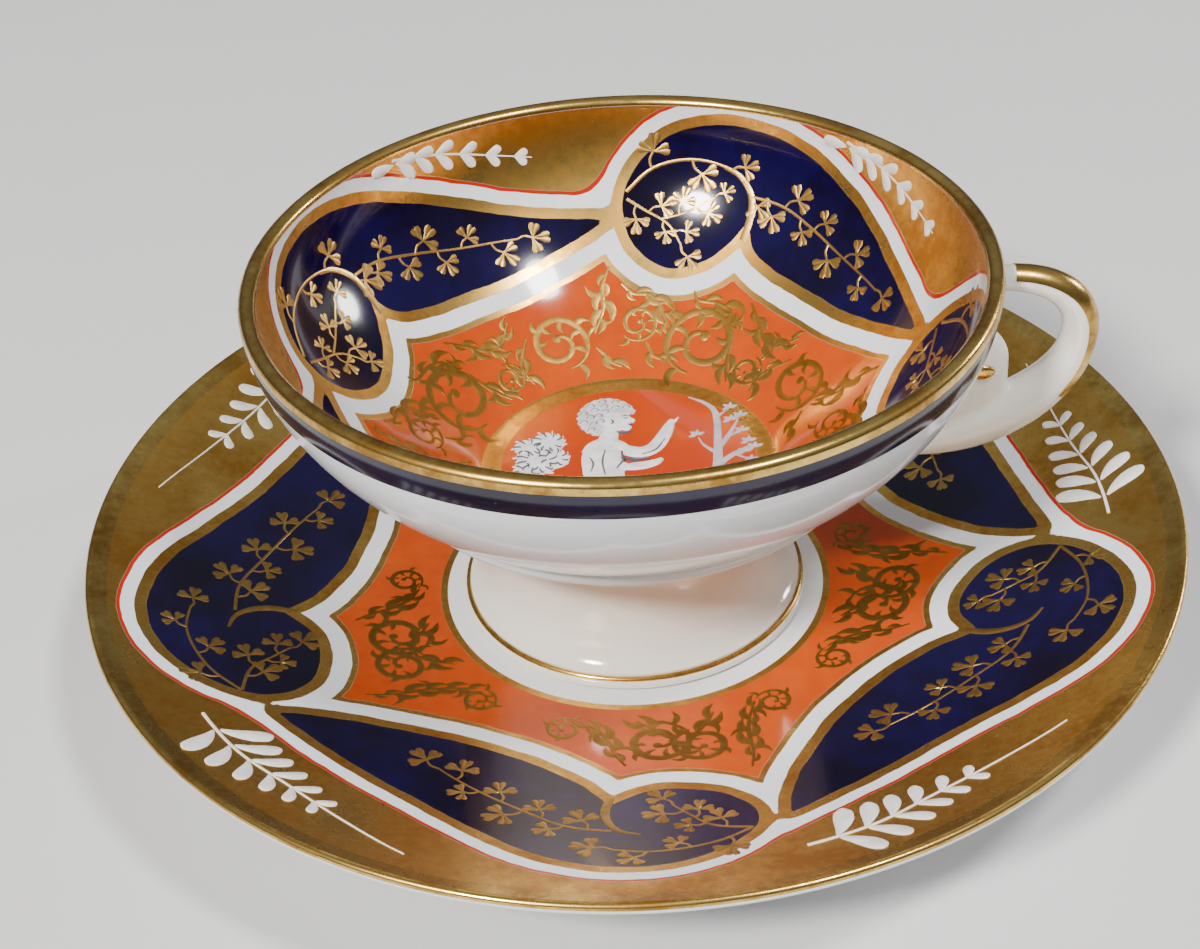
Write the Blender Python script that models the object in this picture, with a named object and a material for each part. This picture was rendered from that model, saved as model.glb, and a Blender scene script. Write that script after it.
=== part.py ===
"""A porcelain teacup with its saucer: turned bowl and foot, cast loop handle, coupe saucer, gilt and cobalt trim.

Metres, +Z up. The origin is on the common axis of cup and saucer, on the table under the saucer.
The cup stands in the saucer's well and lifts straight up along +Z.
"""

import math

import bpy
from mathutils import Vector

MM = 0.001

# Common values.
FIT_GAP = 0.3 * MM  # between pieces that touch
SEGMENTS = 48  # sides of every turned piece
SHARP_ANGLE = math.radians(35)

# Saucer.
SAUCER_RADIUS = 70.0 * MM
SAUCER_RISE = 13.8 * MM  # from the well up to the lip
WELL_RADIUS = 25.4 * MM  # flat middle of the dish
WELL_TOP = 5.2 * MM  # above the table
DISH_FLOOR = 3.4 * MM  # thickness under the well
DISH_EDGE = 2.0 * MM  # thickness at the lip
DISH_CURVE = 1.6  # power of the dish's rise from the well to the lip
DISH_STEPS = 9
SAUCER_LIP_WIDTH = 2.6 * MM
SAUCER_LIP_DEPTH = 0.8 * MM
SAUCER_LIP_ROUND = 0.5 * MM
SAUCER_LIP_STEPS = 2
FOOT_RING_RADIUS = 39.0 * MM
FOOT_RING_WIDTH = 3.5 * MM
FOOT_RING_SPLAY = 0.4 * MM  # added to each side where the ring meets the dish

# Cup bowl. Heights are above the underside of the cup's foot.
CUP_RADIUS = 45.5 * MM
CUP_HEIGHT = 48.6 * MM
BOWL_WALL = 2.1 * MM
WALL_DROP = 8.5 * MM  # how long the wall keeps near to upright under the rim
WALL_STEPS = 11
SHOULDER_RADIUS = 31.5 * MM  # where the wall's curve ends above the bead
SHOULDER_HEIGHT = 25.3 * MM
SHOULDER_REACH = 8.5 * MM
SHOULDER_SLOPE = 0.84  # rise over run of the wall at the shoulder
BEAD_RADIUS = 1.1 * MM  # half-round moulding under the bowl
BEAD_RING_RADIUS = 29.6 * MM
BEAD_HEIGHT = 23.9 * MM
BEAD_ARC = (math.radians(40), math.radians(-110))  # from the wall round to the underside
BEAD_STEPS = 5
FLOOR_HEIGHT = 18.3 * MM  # middle of the floor inside
FLOOR_WALL = 2.9 * MM
FLOOR_RADIUS = 18.7 * MM
FLOOR_RISE = 0.8 * MM  # from the middle to the floor's edge
FLOOR_EASE = 0.25  # share of the shoulder's reach that eases the wall into the floor
FLOOR_STEPS = 5
CUP_LIP_HEIGHT = 1.6 * MM
CUP_LIP_ROUND = 0.8 * MM
CUP_LIP_STEPS = 4
BAND_HEIGHT = 3.3 * MM
BAND_THICKNESS = 0.5 * MM

# Cup foot.
FOOT_RADIUS = 22.6 * MM
FOOT_STAND_WIDTH = 2.8 * MM  # of the ring it stands on
FOOT_EDGE_HEIGHT = 1.1 * MM
FOOT_COLLAR_RADIUS = 19.6 * MM
FOOT_WALL = 3.2 * MM
FOOT_SPREAD = 3.4 * MM  # how far the concave side draws in
FOOT_PULL = (0.7 * MM, 1.8 * MM)  # further in, of the side curve's two middle points
FOOT_PULL_AT = (0.12, 0.65)  # share of the side's height of those points
FOOT_STEPS = 8
FOOT_LINE = 0.7 * MM  # side of the gilt line's section

# Handle, in the plane y = 0 on the +X side of the cup.
LOOP_REACH = 12.8 * MM  # outermost point beyond the rim
LOOP_DROP = 5.4 * MM  # middle line below the rim where it leaves the bowl
LOOP_TURN = 12.8 * MM  # outermost point below the rim
LOOP_TOP_HANDLE = Vector((6.5, 0.6)) * MM
LOOP_UPPER_HANDLE = 5.2 * MM
LOOP_LOWER_HANDLE = 9.5 * MM
LOOP_ROOT_HANDLE = Vector((16.0, -3.3)) * MM
LOOP_ROOT_INSET = 5.0 * MM  # root's end inside the shoulder
LOOP_ROOT_DROP = 3.3 * MM  # root's end below the shoulder
LOOP_SHARES = (0.0, 0.5, 0.8, 1.0)  # top, turn, heel and root along the loop
LOOP_THICK = (3.2 * MM, 4.4 * MM, 6.2 * MM, 2.6 * MM)
LOOP_WIDE = (3.4 * MM, 5.2 * MM, 7.8 * MM, 8.4 * MM)
LOOP_STEPS = (12, 18)  # stations above and below the turn
LOOP_SIDES = 14
KICK_REACH = 2.2 * MM  # front of the inner spur beyond the rim
KICK_WIDTH = 5.6 * MM
KICK_TOP = 12.0 * MM  # below the rim
KICK_FOOT = 0.7 * MM  # above the middle line of the loop's lower arm, at the rim's radius
KICK_ROUND = 5.4 * MM  # height over which its top rounds back to the bowl
KICK_ROUND_POWER = 2.5  # how late in that height it turns
KICK_TIP = 0.97  # share of the rounding used, so that the top ends in a small flat
KICK_TIP_DEPTH = 0.35  # depth and width left at the top, as shares of the full ones
KICK_TIP_WIDTH = 0.15
KICK_SIDES = 14
KICK_STEPS = 12
GILT_THICKNESS = 0.4 * MM
BACK_GILT_SPREAD = math.radians(38)  # to each side of the loop's outer line
BACK_GILT_STATIONS = (4, 20)  # first and last of the loop's stations
BACK_GILT_SIDES = 4
EYE_DROP = 17.2 * MM  # middle of the gilt eye below the rim
EYE_INSET = 1.5 * MM  # inside the rim's radius
EYE_SIZE = Vector((1.5, 0.3, 0.95)) * MM  # half axes

CUTTER_MARGIN = 5.0 * MM
CUP_BASE = WELL_TOP + FIT_GAP
CUP_TOP = CUP_BASE + CUP_HEIGHT

COOL_WHITE = (0.80, 0.82, 0.86)
CREAM_WHITE = (0.86, 0.84, 0.78)
GOLD = (0.83, 0.61, 0.22)
COBALT = (0.02, 0.02, 0.12)


def clear_scene():
    for obj in list(bpy.data.objects):
        bpy.data.objects.remove(obj, do_unlink=True)


def make_material(name, colour, metallic, roughness):
    material = bpy.data.materials.new(name)
    material.use_nodes = True
    shader = material.node_tree.nodes["Principled BSDF"]
    shader.inputs["Base Color"].default_value = (*colour, 1.0)
    shader.inputs["Metallic"].default_value = metallic
    shader.inputs["Roughness"].default_value = roughness
    return material


def add_object(name, vertices, edges, faces, material, parent):
    mesh = bpy.data.meshes.new(name)
    mesh.from_pydata(vertices, edges, faces)
    mesh.update()
    if material is not None:
        mesh.materials.append(material)
    obj = bpy.data.objects.new(name, mesh)
    bpy.context.scene.collection.objects.link(obj)
    obj.parent = parent
    return obj


def add_turned(name, profile, material, parent=None):
    """Turns (radius, height) points about Z. They run down the outer side; points on the axis end an open profile."""
    count = len(profile)
    vertices = [(radius, 0.0, height) for radius, height in profile]
    edges = [(i, i + 1) for i in range(count - 1)]
    if profile[0][0] > 0.0:
        edges.append((count - 1, 0))
    obj = add_object(name, vertices, edges, [], material, parent)
    screw = obj.modifiers.new("turn", "SCREW")
    screw.axis = "Z"
    screw.angle = 2.0 * math.pi
    screw.steps = SEGMENTS
    screw.render_steps = SEGMENTS
    screw.use_merge_vertices = True
    screw.merge_threshold = 0.00001
    screw.use_smooth_shade = True
    return obj


def add_tube(name, rings, material, parent=None):
    """Joins equal rings of points in order, and closes both ends with a flat cap."""
    sides = len(rings[0])
    vertices = [point for ring in rings for point in ring]
    faces = []
    for ring in range(len(rings) - 1):
        for side in range(sides):
            here = ring * sides
            after = (side + 1) % sides
            faces.append((here + side, here + sides + side, here + sides + after, here + after))
    faces.append(tuple(range(sides)))
    faces.append(tuple(len(vertices) - sides + side for side in reversed(range(sides))))
    obj = add_object(name, vertices, [], faces, material, parent)
    obj.data.shade_smooth()
    obj.data.set_sharp_from_angle(angle=SHARP_ANGLE)
    return obj


def cut(obj, cutter):
    cutter.hide_render = True
    cutter.display_type = "WIRE"
    modifier = obj.modifiers.new("clear_" + cutter.name, "BOOLEAN")
    modifier.operation = "DIFFERENCE"
    modifier.solver = "EXACT"
    modifier.object = cutter


def bezier(points, t):
    start, first, second, end = (Vector(point) for point in points)
    rest = 1.0 - t
    return rest**3 * start + 3 * rest**2 * t * first + 3 * rest * t**2 * second + t**3 * end


def offset_curve(points, distance):
    """Moves each point of an open curve sideways, to the left of its direction of travel."""
    moved = []
    for i, point in enumerate(points):
        along = points[min(i + 1, len(points) - 1)] - points[max(i - 1, 0)]
        along.normalize()
        moved.append(point + distance * Vector((-along.y, along.x)))
    return moved


def arc(centre, radius, start, end, steps):
    angles = [start + (end - start) * i / steps for i in range(steps + 1)]
    return [Vector((centre[0] + radius * math.cos(a), centre[1] + radius * math.sin(a))) for a in angles]


def smooth_blend(shares, values, t):
    """Runs through the values, each at its share of the way, levelling out at each."""
    for i in range(len(shares) - 1):
        if t <= shares[i + 1]:
            local = (t - shares[i]) / (shares[i + 1] - shares[i])
            return values[i] + (values[i + 1] - values[i]) * local * local * (3.0 - 2.0 * local)
    return values[-1]


# Saucer -----------------------------------------------------------------------------------------


def dish_top(radius):
    """Height of the dish's upper face: a flat well, then a power curve up to the lip."""
    run = max(radius - WELL_RADIUS, 0.0) / (SAUCER_RADIUS - WELL_RADIUS)
    return WELL_TOP + SAUCER_RISE * run**DISH_CURVE


def dish_under(radius):
    run = max(radius - WELL_RADIUS, 0.0) / (SAUCER_RADIUS - WELL_RADIUS)
    return dish_top(radius) - DISH_FLOOR - (DISH_EDGE - DISH_FLOOR) * run


def dish_radii(end):
    return [WELL_RADIUS + (end - WELL_RADIUS) * i / DISH_STEPS for i in range(DISH_STEPS + 1)]


def saucer_dish(material, parent):
    seat = SAUCER_RADIUS - SAUCER_LIP_WIDTH - FIT_GAP
    edge = SAUCER_RADIUS - SAUCER_LIP_ROUND
    step = SAUCER_LIP_DEPTH + FIT_GAP
    upper = [(radius, dish_top(radius)) for radius in dish_radii(seat)]
    rebate = [(seat, dish_top(seat) - step), (edge, dish_top(edge) - step)]
    under = [(radius, dish_under(radius)) for radius in reversed(dish_radii(edge))]
    profile = [(0.0, WELL_TOP), *upper, *rebate, *under, (0.0, WELL_TOP - DISH_FLOOR)]
    return add_turned("saucer_dish", profile, material, parent)


def saucer_gilt_lip(material, parent):
    inner = SAUCER_RADIUS - SAUCER_LIP_WIDTH
    crown = SAUCER_RADIUS - SAUCER_LIP_ROUND
    centre = (crown, dish_top(crown) - SAUCER_LIP_ROUND)
    rounding = arc(centre, SAUCER_LIP_ROUND, math.pi / 2, 0.0, SAUCER_LIP_STEPS)
    profile = [
        *[tuple(point) for point in rounding],
        (SAUCER_RADIUS, dish_top(crown) - SAUCER_LIP_DEPTH),
        (inner, dish_top(inner) - SAUCER_LIP_DEPTH),
        (inner, dish_top(inner)),
    ]
    return add_turned("saucer_gilt_lip", profile, material, parent)


def saucer_foot_ring(material, parent):
    inner = FOOT_RING_RADIUS - FOOT_RING_WIDTH
    outer_top = FOOT_RING_RADIUS + FOOT_RING_SPLAY
    inner_top = inner - FOOT_RING_SPLAY
    profile = [
        (outer_top, dish_under(outer_top) - FIT_GAP),
        (FOOT_RING_RADIUS, 0.0),
        (inner, 0.0),
        (inner_top, dish_under(inner_top) - FIT_GAP),
    ]
    return add_turned("saucer_foot_ring", profile, material, parent)


# Cup --------------------------------------------------------------------------------------------


def wall_curve(start=0.0):
    """The bowl's outer wall from the rim, or from a share of the way down, to the shoulder."""
    shoulder = Vector((SHOULDER_RADIUS, CUP_BASE + SHOULDER_HEIGHT))
    points = (
        (CUP_RADIUS, CUP_TOP),
        (CUP_RADIUS, CUP_TOP - WALL_DROP),
        shoulder + SHOULDER_REACH * Vector((1.0, SHOULDER_SLOPE)),
        shoulder,
    )
    return [bezier(points, start + (1.0 - start) * i / WALL_STEPS) for i in range(WALL_STEPS + 1)]


def wall_radius(height):
    """Radius of the outer wall at this height, between the curve's points."""
    curve = wall_curve()
    for above, below in zip(curve, curve[1:]):
        if below.y <= height <= above.y:
            share = (height - below.y) / (above.y - below.y)
            return below.x + (above.x - below.x) * share
    return CUP_RADIUS if height > CUP_TOP else SHOULDER_RADIUS


def under_bowl(clearance=0.0):
    """From the shoulder round the bead to the foot's collar, moved outwards by a clearance."""
    radius = BEAD_RADIUS + clearance
    centre = (BEAD_RING_RADIUS, CUP_BASE + BEAD_HEIGHT)
    bead = arc(centre, radius, *BEAD_ARC, BEAD_STEPS)
    collar = Vector((FOOT_COLLAR_RADIUS, CUP_BASE + FLOOR_HEIGHT - FLOOR_WALL - clearance))
    return [*bead, collar]


def inner_wall():
    """The wall's inner face from the lip's seat down to the shoulder, then over to the floor's edge."""
    seat = CUP_TOP - CUP_LIP_HEIGHT - FIT_GAP
    wall = [point for point in offset_curve(wall_curve(), -BOWL_WALL) if point.y < seat]
    floor_edge = Vector((FLOOR_RADIUS, CUP_BASE + FLOOR_HEIGHT + FLOOR_RISE))
    last = wall[-1]
    points = (
        last,
        last - FLOOR_EASE * SHOULDER_REACH * Vector((1.0, SHOULDER_SLOPE)),
        floor_edge + Vector((FLOOR_EASE * SHOULDER_REACH, FLOOR_RISE)),
        floor_edge,
    )
    turn = [bezier(points, i / FLOOR_STEPS) for i in range(1, FLOOR_STEPS + 1)]
    return [Vector((CUP_RADIUS - BOWL_WALL, seat)), *wall, *turn]


def cup_bowl(material, parent):
    band_top = CUP_TOP - CUP_LIP_HEIGHT - FIT_GAP
    band_bottom = band_top - BAND_HEIGHT - FIT_GAP
    seat_depth = BAND_THICKNESS + FIT_GAP
    outer = [point for point in wall_curve() if point.y < band_bottom]
    inside = [tuple(point) for point in reversed(inner_wall())]
    profile = [
        (0.0, CUP_BASE + FLOOR_HEIGHT),
        *inside,
        (wall_radius(band_top) - seat_depth, band_top),
        (wall_radius(band_bottom) - seat_depth, band_bottom),
        (wall_radius(band_bottom), band_bottom),
        *[tuple(point) for point in outer],
        *[tuple(point) for point in under_bowl()],
        (0.0, CUP_BASE + FLOOR_HEIGHT - FLOOR_WALL),
    ]
    return add_turned("cup_bowl", profile, material, parent)


def cup_gilt_lip(material, parent):
    bottom = CUP_TOP - CUP_LIP_HEIGHT
    crown = CUP_TOP - CUP_LIP_ROUND
    inner = CUP_RADIUS - BOWL_WALL
    outer_round = arc((CUP_RADIUS - CUP_LIP_ROUND, crown), CUP_LIP_ROUND, math.pi / 2, 0.0, CUP_LIP_STEPS)
    inner_round = arc((inner + CUP_LIP_ROUND, crown), CUP_LIP_ROUND, math.pi, math.pi / 2, CUP_LIP_STEPS)
    profile = [*outer_round, Vector((CUP_RADIUS, bottom)), Vector((inner, bottom)), *inner_round]
    return add_turned("cup_gilt_lip", [tuple(point) for point in profile], material, parent)


def cup_cobalt_band(material, parent):
    top = CUP_TOP - CUP_LIP_HEIGHT - FIT_GAP
    bottom = top - BAND_HEIGHT
    profile = [
        (wall_radius(top), top),
        (wall_radius(bottom), bottom),
        (wall_radius(bottom) - BAND_THICKNESS, bottom),
        (wall_radius(top) - BAND_THICKNESS, top),
    ]
    return add_turned("cup_cobalt_band", profile, material, parent)


def foot_side():
    """The foot's concave outer side, from the step that carries the gilt line up to the collar."""
    start = Vector((FOOT_RADIUS - FOOT_LINE - 2.0 * FIT_GAP, CUP_BASE + FOOT_EDGE_HEIGHT + FOOT_LINE))
    end = Vector((FOOT_COLLAR_RADIUS, CUP_BASE + FLOOR_HEIGHT - FLOOR_WALL - FIT_GAP))
    height = end.y - start.y
    waist = FOOT_RADIUS - FOOT_SPREAD
    middle = [(waist - pull, start.y + share * height) for pull, share in zip(FOOT_PULL, FOOT_PULL_AT)]
    points = (start, *middle, end)
    return [bezier(points, i / FOOT_STEPS) for i in range(FOOT_STEPS + 1)]


def cup_foot(material, parent):
    side = foot_side()
    edge_top = CUP_BASE + FOOT_EDGE_HEIGHT
    inside = offset_curve(side[1:-1], FOOT_WALL)
    profile = [
        *[tuple(point) for point in reversed(side)],
        (side[0].x, edge_top),
        (FOOT_RADIUS, edge_top),
        (FOOT_RADIUS, CUP_BASE),
        (FOOT_RADIUS - FOOT_STAND_WIDTH, CUP_BASE),
        *[(min(point.x, FOOT_RADIUS - FOOT_STAND_WIDTH), point.y) for point in inside],
        (FOOT_COLLAR_RADIUS - FOOT_WALL, side[-1].y),
    ]
    return add_turned("cup_foot", profile, material, parent)


def cup_foot_gilt_line(material, parent):
    inner = FOOT_RADIUS - FOOT_LINE - FIT_GAP
    bottom = CUP_BASE + FOOT_EDGE_HEIGHT + FIT_GAP
    profile = [
        (inner + FOOT_LINE / 2, bottom + FOOT_LINE),
        (inner + FOOT_LINE, bottom),
        (inner, bottom),
        (inner, bottom + FOOT_LINE),
    ]
    return add_turned("cup_foot_gilt_line", profile, material, parent)


# Handle -----------------------------------------------------------------------------------------


def loop_path():
    """Stations (middle point in the x-z plane, share of the way) from the rim over the turn to the root."""
    top = Vector((CUP_RADIUS - BOWL_WALL / 2, CUP_TOP - LOOP_DROP))
    turn = Vector((CUP_RADIUS + LOOP_REACH - LOOP_THICK[1] / 2, CUP_TOP - LOOP_TURN))
    root = Vector((SHOULDER_RADIUS - LOOP_ROOT_INSET, CUP_BASE + SHOULDER_HEIGHT - LOOP_ROOT_DROP))
    upper = (top, top + LOOP_TOP_HANDLE, turn + Vector((0.0, LOOP_UPPER_HANDLE)), turn)
    lower = (turn, turn - Vector((0.0, LOOP_LOWER_HANDLE)), root + LOOP_ROOT_HANDLE, root)
    above, below = LOOP_STEPS
    stations = [(bezier(upper, i / above), 0.5 * i / above) for i in range(above)]
    stations += [(bezier(lower, i / below), 0.5 + 0.5 * i / below) for i in range(below + 1)]
    return stations


def loop_frames():
    """(middle, outward unit vector, half thickness, half width) at each station, all in the x-z plane."""
    stations = loop_path()
    frames = []
    for i, (middle, share) in enumerate(stations):
        along = stations[min(i + 1, len(stations) - 1)][0] - stations[max(i - 1, 0)][0]
        along.normalize()
        outward = Vector((-along.y, along.x))
        thick = smooth_blend(LOOP_SHARES, LOOP_THICK, share)
        wide = smooth_blend(LOOP_SHARES, LOOP_WIDE, share)
        frames.append((middle, outward, thick / 2, wide / 2))
    return frames


def loop_point(frame, angle, grow=0.0):
    """A point on the loop's oval section. Angle 0 is the outer line, and positive angles go towards +Y."""
    middle, outward, half_thick, half_wide = frame
    flat = middle + (half_thick + grow) * math.cos(angle) * outward
    return Vector((flat.x, (half_wide + grow) * math.sin(angle), flat.y))


def loop_rings(grow=0.0):
    angles = [2.0 * math.pi * side / LOOP_SIDES for side in range(LOOP_SIDES)]
    return [[loop_point(frame, angle, grow) for angle in angles] for frame in loop_frames()]


def handle_loop(material, parent, bowl_cutter):
    obj = add_tube("handle_loop", loop_rings(), material, parent)
    cut(obj, bowl_cutter)
    return obj


def lower_arm_height(radius):
    """Height of the middle line of the loop's lower arm at this radius."""
    arm = [middle for middle, share in loop_path() if share >= 0.5]
    for outer, inner in zip(arm, arm[1:]):
        if inner.x <= radius <= outer.x:
            share = (radius - inner.x) / (outer.x - inner.x)
            return inner.y + (outer.y - inner.y) * share
    return arm[-1].y


def kick_rings():
    """Oval sections of the inner spur, stacked upwards; the spur's front rounds back to the bowl at its top."""
    low = lower_arm_height(CUP_RADIUS) + KICK_FOOT
    high = CUP_TOP - KICK_TOP
    rings = []
    for step in range(KICK_STEPS + 1):
        height = low + (high - low) * math.sin(0.5 * math.pi * step / KICK_STEPS)
        near_top = max(height - high + KICK_ROUND, 0.0) / KICK_ROUND
        back = wall_radius(height) - 2.0 * BOWL_WALL
        front = CUP_RADIUS + KICK_REACH
        shrink = math.sqrt(1.0 - KICK_TIP * near_top**KICK_ROUND_POWER)
        front = back + (front - back) * (KICK_TIP_DEPTH + (1.0 - KICK_TIP_DEPTH) * shrink)
        half_deep = (front - back) / 2
        half_wide = 0.5 * KICK_WIDTH * (KICK_TIP_WIDTH + (1.0 - KICK_TIP_WIDTH) * shrink)
        rings.append(
            [
                Vector(
                    (
                        back + half_deep + half_deep * math.cos(2.0 * math.pi * side / KICK_SIDES),
                        half_wide * math.sin(2.0 * math.pi * side / KICK_SIDES),
                        height,
                    )
                )
                for side in range(KICK_SIDES)
            ]
        )
    return rings


def handle_kick(material, parent, bowl_cutter, loop_cutter):
    obj = add_tube("handle_kick", kick_rings(), material, parent)
    cut(obj, bowl_cutter)
    cut(obj, loop_cutter)
    return obj


def handle_back_gilding(material, parent):
    """A thin strip over the outer back of the loop, from near the rim to past the turn."""
    first, last = BACK_GILT_STATIONS
    spread = [BACK_GILT_SPREAD * (2.0 * side / BACK_GILT_SIDES - 1.0) for side in range(BACK_GILT_SIDES + 1)]
    rings = []
    for frame in loop_frames()[first : last + 1]:
        inner = [loop_point(frame, angle, FIT_GAP) for angle in spread]
        outer = [loop_point(frame, angle, FIT_GAP + GILT_THICKNESS) for angle in reversed(spread)]
        rings.append([*inner, *outer][::-1])
    return add_tube("handle_back_gilding", rings, material, parent)


def handle_eye(name, side, material, parent):
    """A low gilt boss on one side of the spur: an ellipsoid standing clear of it."""
    height = CUP_TOP - EYE_DROP
    back = wall_radius(height) - 2.0 * BOWL_WALL
    half_deep = (CUP_RADIUS + KICK_REACH - back) / 2
    offset = (CUP_RADIUS - EYE_INSET - back - half_deep) / half_deep
    face = 0.5 * KICK_WIDTH * math.sqrt(1.0 - offset**2)
    centre = Vector((CUP_RADIUS - EYE_INSET, side * (face + FIT_GAP + EYE_SIZE.y + FIT_GAP), height))
    bpy.ops.mesh.primitive_uv_sphere_add(segments=16, ring_count=8, radius=1.0)
    obj = bpy.context.object
    obj.name = name
    obj.data.name = name
    for vertex in obj.data.vertices:
        vertex.co = centre + Vector(a * b for a, b in zip(vertex.co, EYE_SIZE))
    obj.data.materials.append(material)
    obj.data.shade_smooth()
    obj.parent = parent
    return obj


def bowl_keep_out():
    """The bowl's outer shape, filled and grown by the fit gap, as a cutter."""
    wall = offset_curve(wall_curve(), FIT_GAP)
    profile = [
        Vector((0.0, CUP_TOP + CUTTER_MARGIN)),
        Vector((CUP_RADIUS + FIT_GAP, CUP_TOP + CUTTER_MARGIN)),
        *wall,
        *under_bowl(FIT_GAP),
        Vector((0.0, CUP_BASE + FLOOR_HEIGHT - FLOOR_WALL - FIT_GAP)),
    ]
    return add_turned("bowl_keep_out", [tuple(point) for point in profile], None)


def build():
    clear_scene()
    saucer = bpy.data.objects.new("saucer", None)
    cup = bpy.data.objects.new("cup", None)
    for empty in (saucer, cup):
        bpy.context.scene.collection.objects.link(empty)

    saucer_dish(make_material("saucer_dish", COOL_WHITE, 0.0, 0.12), saucer)
    saucer_foot_ring(make_material("saucer_foot_ring", CREAM_WHITE, 0.0, 0.15), saucer)
    saucer_gilt_lip(make_material("saucer_gilt_lip", GOLD, 1.0, 0.22), saucer)

    cup_bowl(make_material("cup_bowl", COOL_WHITE, 0.0, 0.12), cup)
    cup_foot(make_material("cup_foot", CREAM_WHITE, 0.0, 0.12), cup)
    cup_gilt_lip(make_material("cup_gilt_lip", GOLD, 1.0, 0.22), cup)
    cup_cobalt_band(make_material("cup_cobalt_band", COBALT, 0.0, 0.1), cup)
    cup_foot_gilt_line(make_material("cup_foot_gilt_line", GOLD, 1.0, 0.25), cup)

    bowl_cutter = bowl_keep_out()
    loop_cutter = add_tube("loop_keep_out", loop_rings(FIT_GAP), None)
    handle_loop(make_material("handle_loop", CREAM_WHITE, 0.0, 0.12), cup, bowl_cutter)
    handle_kick(make_material("handle_kick", CREAM_WHITE, 0.0, 0.12), cup, bowl_cutter, loop_cutter)
    handle_back_gilding(make_material("handle_back_gilding", GOLD, 1.0, 0.25), cup)
    eye_gilt = make_material("handle_eye_gilding", GOLD, 1.0, 0.3)
    for name, side in (("handle_eye_front", -1.0), ("handle_eye_back", 1.0)):
        handle_eye(name, side, eye_gilt, cup)


build()
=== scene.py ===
"""Painted porcelain teacup on its saucer: turned surfaces, gilding, enamel and studio light round the frame.

Sizes are millimetres and degrees; meshes are written in metres. Turned faces are charted by azimuth and by
the distance along the profile, and every painted motif is laid on such a chart.
"""

import logging
import math
from collections.abc import Callable, Sequence
from dataclasses import dataclass, field
from enum import Enum

import bpy
import numpy as np
from mathutils import Matrix, Vector


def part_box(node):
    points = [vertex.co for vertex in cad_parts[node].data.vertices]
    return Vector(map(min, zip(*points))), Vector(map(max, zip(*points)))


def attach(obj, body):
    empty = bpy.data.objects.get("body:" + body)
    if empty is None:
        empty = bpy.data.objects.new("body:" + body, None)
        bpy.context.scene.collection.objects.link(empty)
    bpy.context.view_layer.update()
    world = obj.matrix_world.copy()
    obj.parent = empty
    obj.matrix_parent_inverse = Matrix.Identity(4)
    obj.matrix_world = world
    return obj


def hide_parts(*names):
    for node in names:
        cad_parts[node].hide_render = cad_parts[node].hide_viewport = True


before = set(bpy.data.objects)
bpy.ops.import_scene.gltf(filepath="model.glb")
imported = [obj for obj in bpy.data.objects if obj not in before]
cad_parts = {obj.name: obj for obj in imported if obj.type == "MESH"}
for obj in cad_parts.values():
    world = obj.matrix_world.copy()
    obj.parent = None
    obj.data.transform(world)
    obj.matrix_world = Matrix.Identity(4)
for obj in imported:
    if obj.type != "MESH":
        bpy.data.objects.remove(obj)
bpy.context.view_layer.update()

log = logging.getLogger("teacup")

MM = 0.001
FAR = 20.0  # mark value well away from any panel
TINY = 1e-9  # keeps divisions off zero
Array = np.ndarray
Board = Callable[[Array], Array]  # turns rows (x, y, half width) into chart rows (azimuth, length, half width)


class Body(Enum):
    """The frame's bodies that pieces ride on."""

    SAUCER = "saucer"
    CUP = "cup"


class Slot(Enum):
    """The record's material slots."""

    WHITE = "white_porcelain"
    CREAM = "cream_porcelain"
    GILT = "gilding"
    COBALT = "cobalt_glaze"


# Meshes -------------------------------------------------------------------------------------------------


@dataclass
class Surface:
    """Points, faces and named numbers per point of one or more closed surfaces, in millimetres."""

    points: Array
    quads: Array
    tris: Array
    marks: dict[str, Array] = field(default_factory=dict)

    def facing_out(self) -> "Surface":
        """Turns every face over if the enclosed volume comes out negative."""
        a, b, c = (self.points[self.quads[:, k]] for k in range(3))
        if np.einsum("ij,ij->i", a, np.cross(b, c)).sum() < 0.0:
            self.quads = self.quads[:, ::-1]
            self.tris = self.tris[:, ::-1]
        return self


def join(parts: Sequence[Surface]) -> Surface:
    """Puts surfaces into one, without welding them.

    Args:
        parts: surfaces that carry the same marks.

    Returns:
        One surface with all points and faces.
    """
    starts = np.cumsum([0] + [len(part.points) for part in parts])
    return Surface(
        np.concatenate([part.points for part in parts]),
        np.concatenate([part.quads + start for part, start in zip(parts, starts)]),
        np.concatenate([part.tris + start for part, start in zip(parts, starts)]),
        {name: np.concatenate([part.marks[name] for part in parts]) for name in parts[0].marks},
    )


def make_object(name: str, surface: Surface, sharp: float = 40.0) -> bpy.types.Object:
    """Writes a surface into a mesh object at the origin.

    Args:
        name: name of the piece.
        surface: what it is made of, in millimetres.
        sharp: edges that fold by more than this many degrees stay sharp.

    Returns:
        The new object, linked to the scene.
    """
    mesh = bpy.data.meshes.new(name)
    mesh.vertices.add(len(surface.points))
    mesh.vertices.foreach_set("co", (surface.points * MM).astype(np.float32).ravel())
    corners = np.concatenate([surface.quads.ravel(), surface.tris.ravel()]).astype(np.int32)
    sizes = np.concatenate([np.full(len(surface.quads), 4), np.full(len(surface.tris), 3)])
    mesh.loops.add(len(corners))
    mesh.loops.foreach_set("vertex_index", corners)
    mesh.polygons.add(len(sizes))
    mesh.polygons.foreach_set("loop_start", (np.cumsum(sizes) - sizes).astype(np.int32))
    mesh.update(calc_edges=True)
    for mark, values in surface.marks.items():
        mesh.attributes.new(mark, "FLOAT", "POINT").data.foreach_set("value", values.astype(np.float32))
    mesh.shade_smooth()
    mesh.set_sharp_from_angle(angle=math.radians(sharp))
    obj = bpy.data.objects.new(name, mesh)
    bpy.context.scene.collection.objects.link(obj)
    return obj


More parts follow.
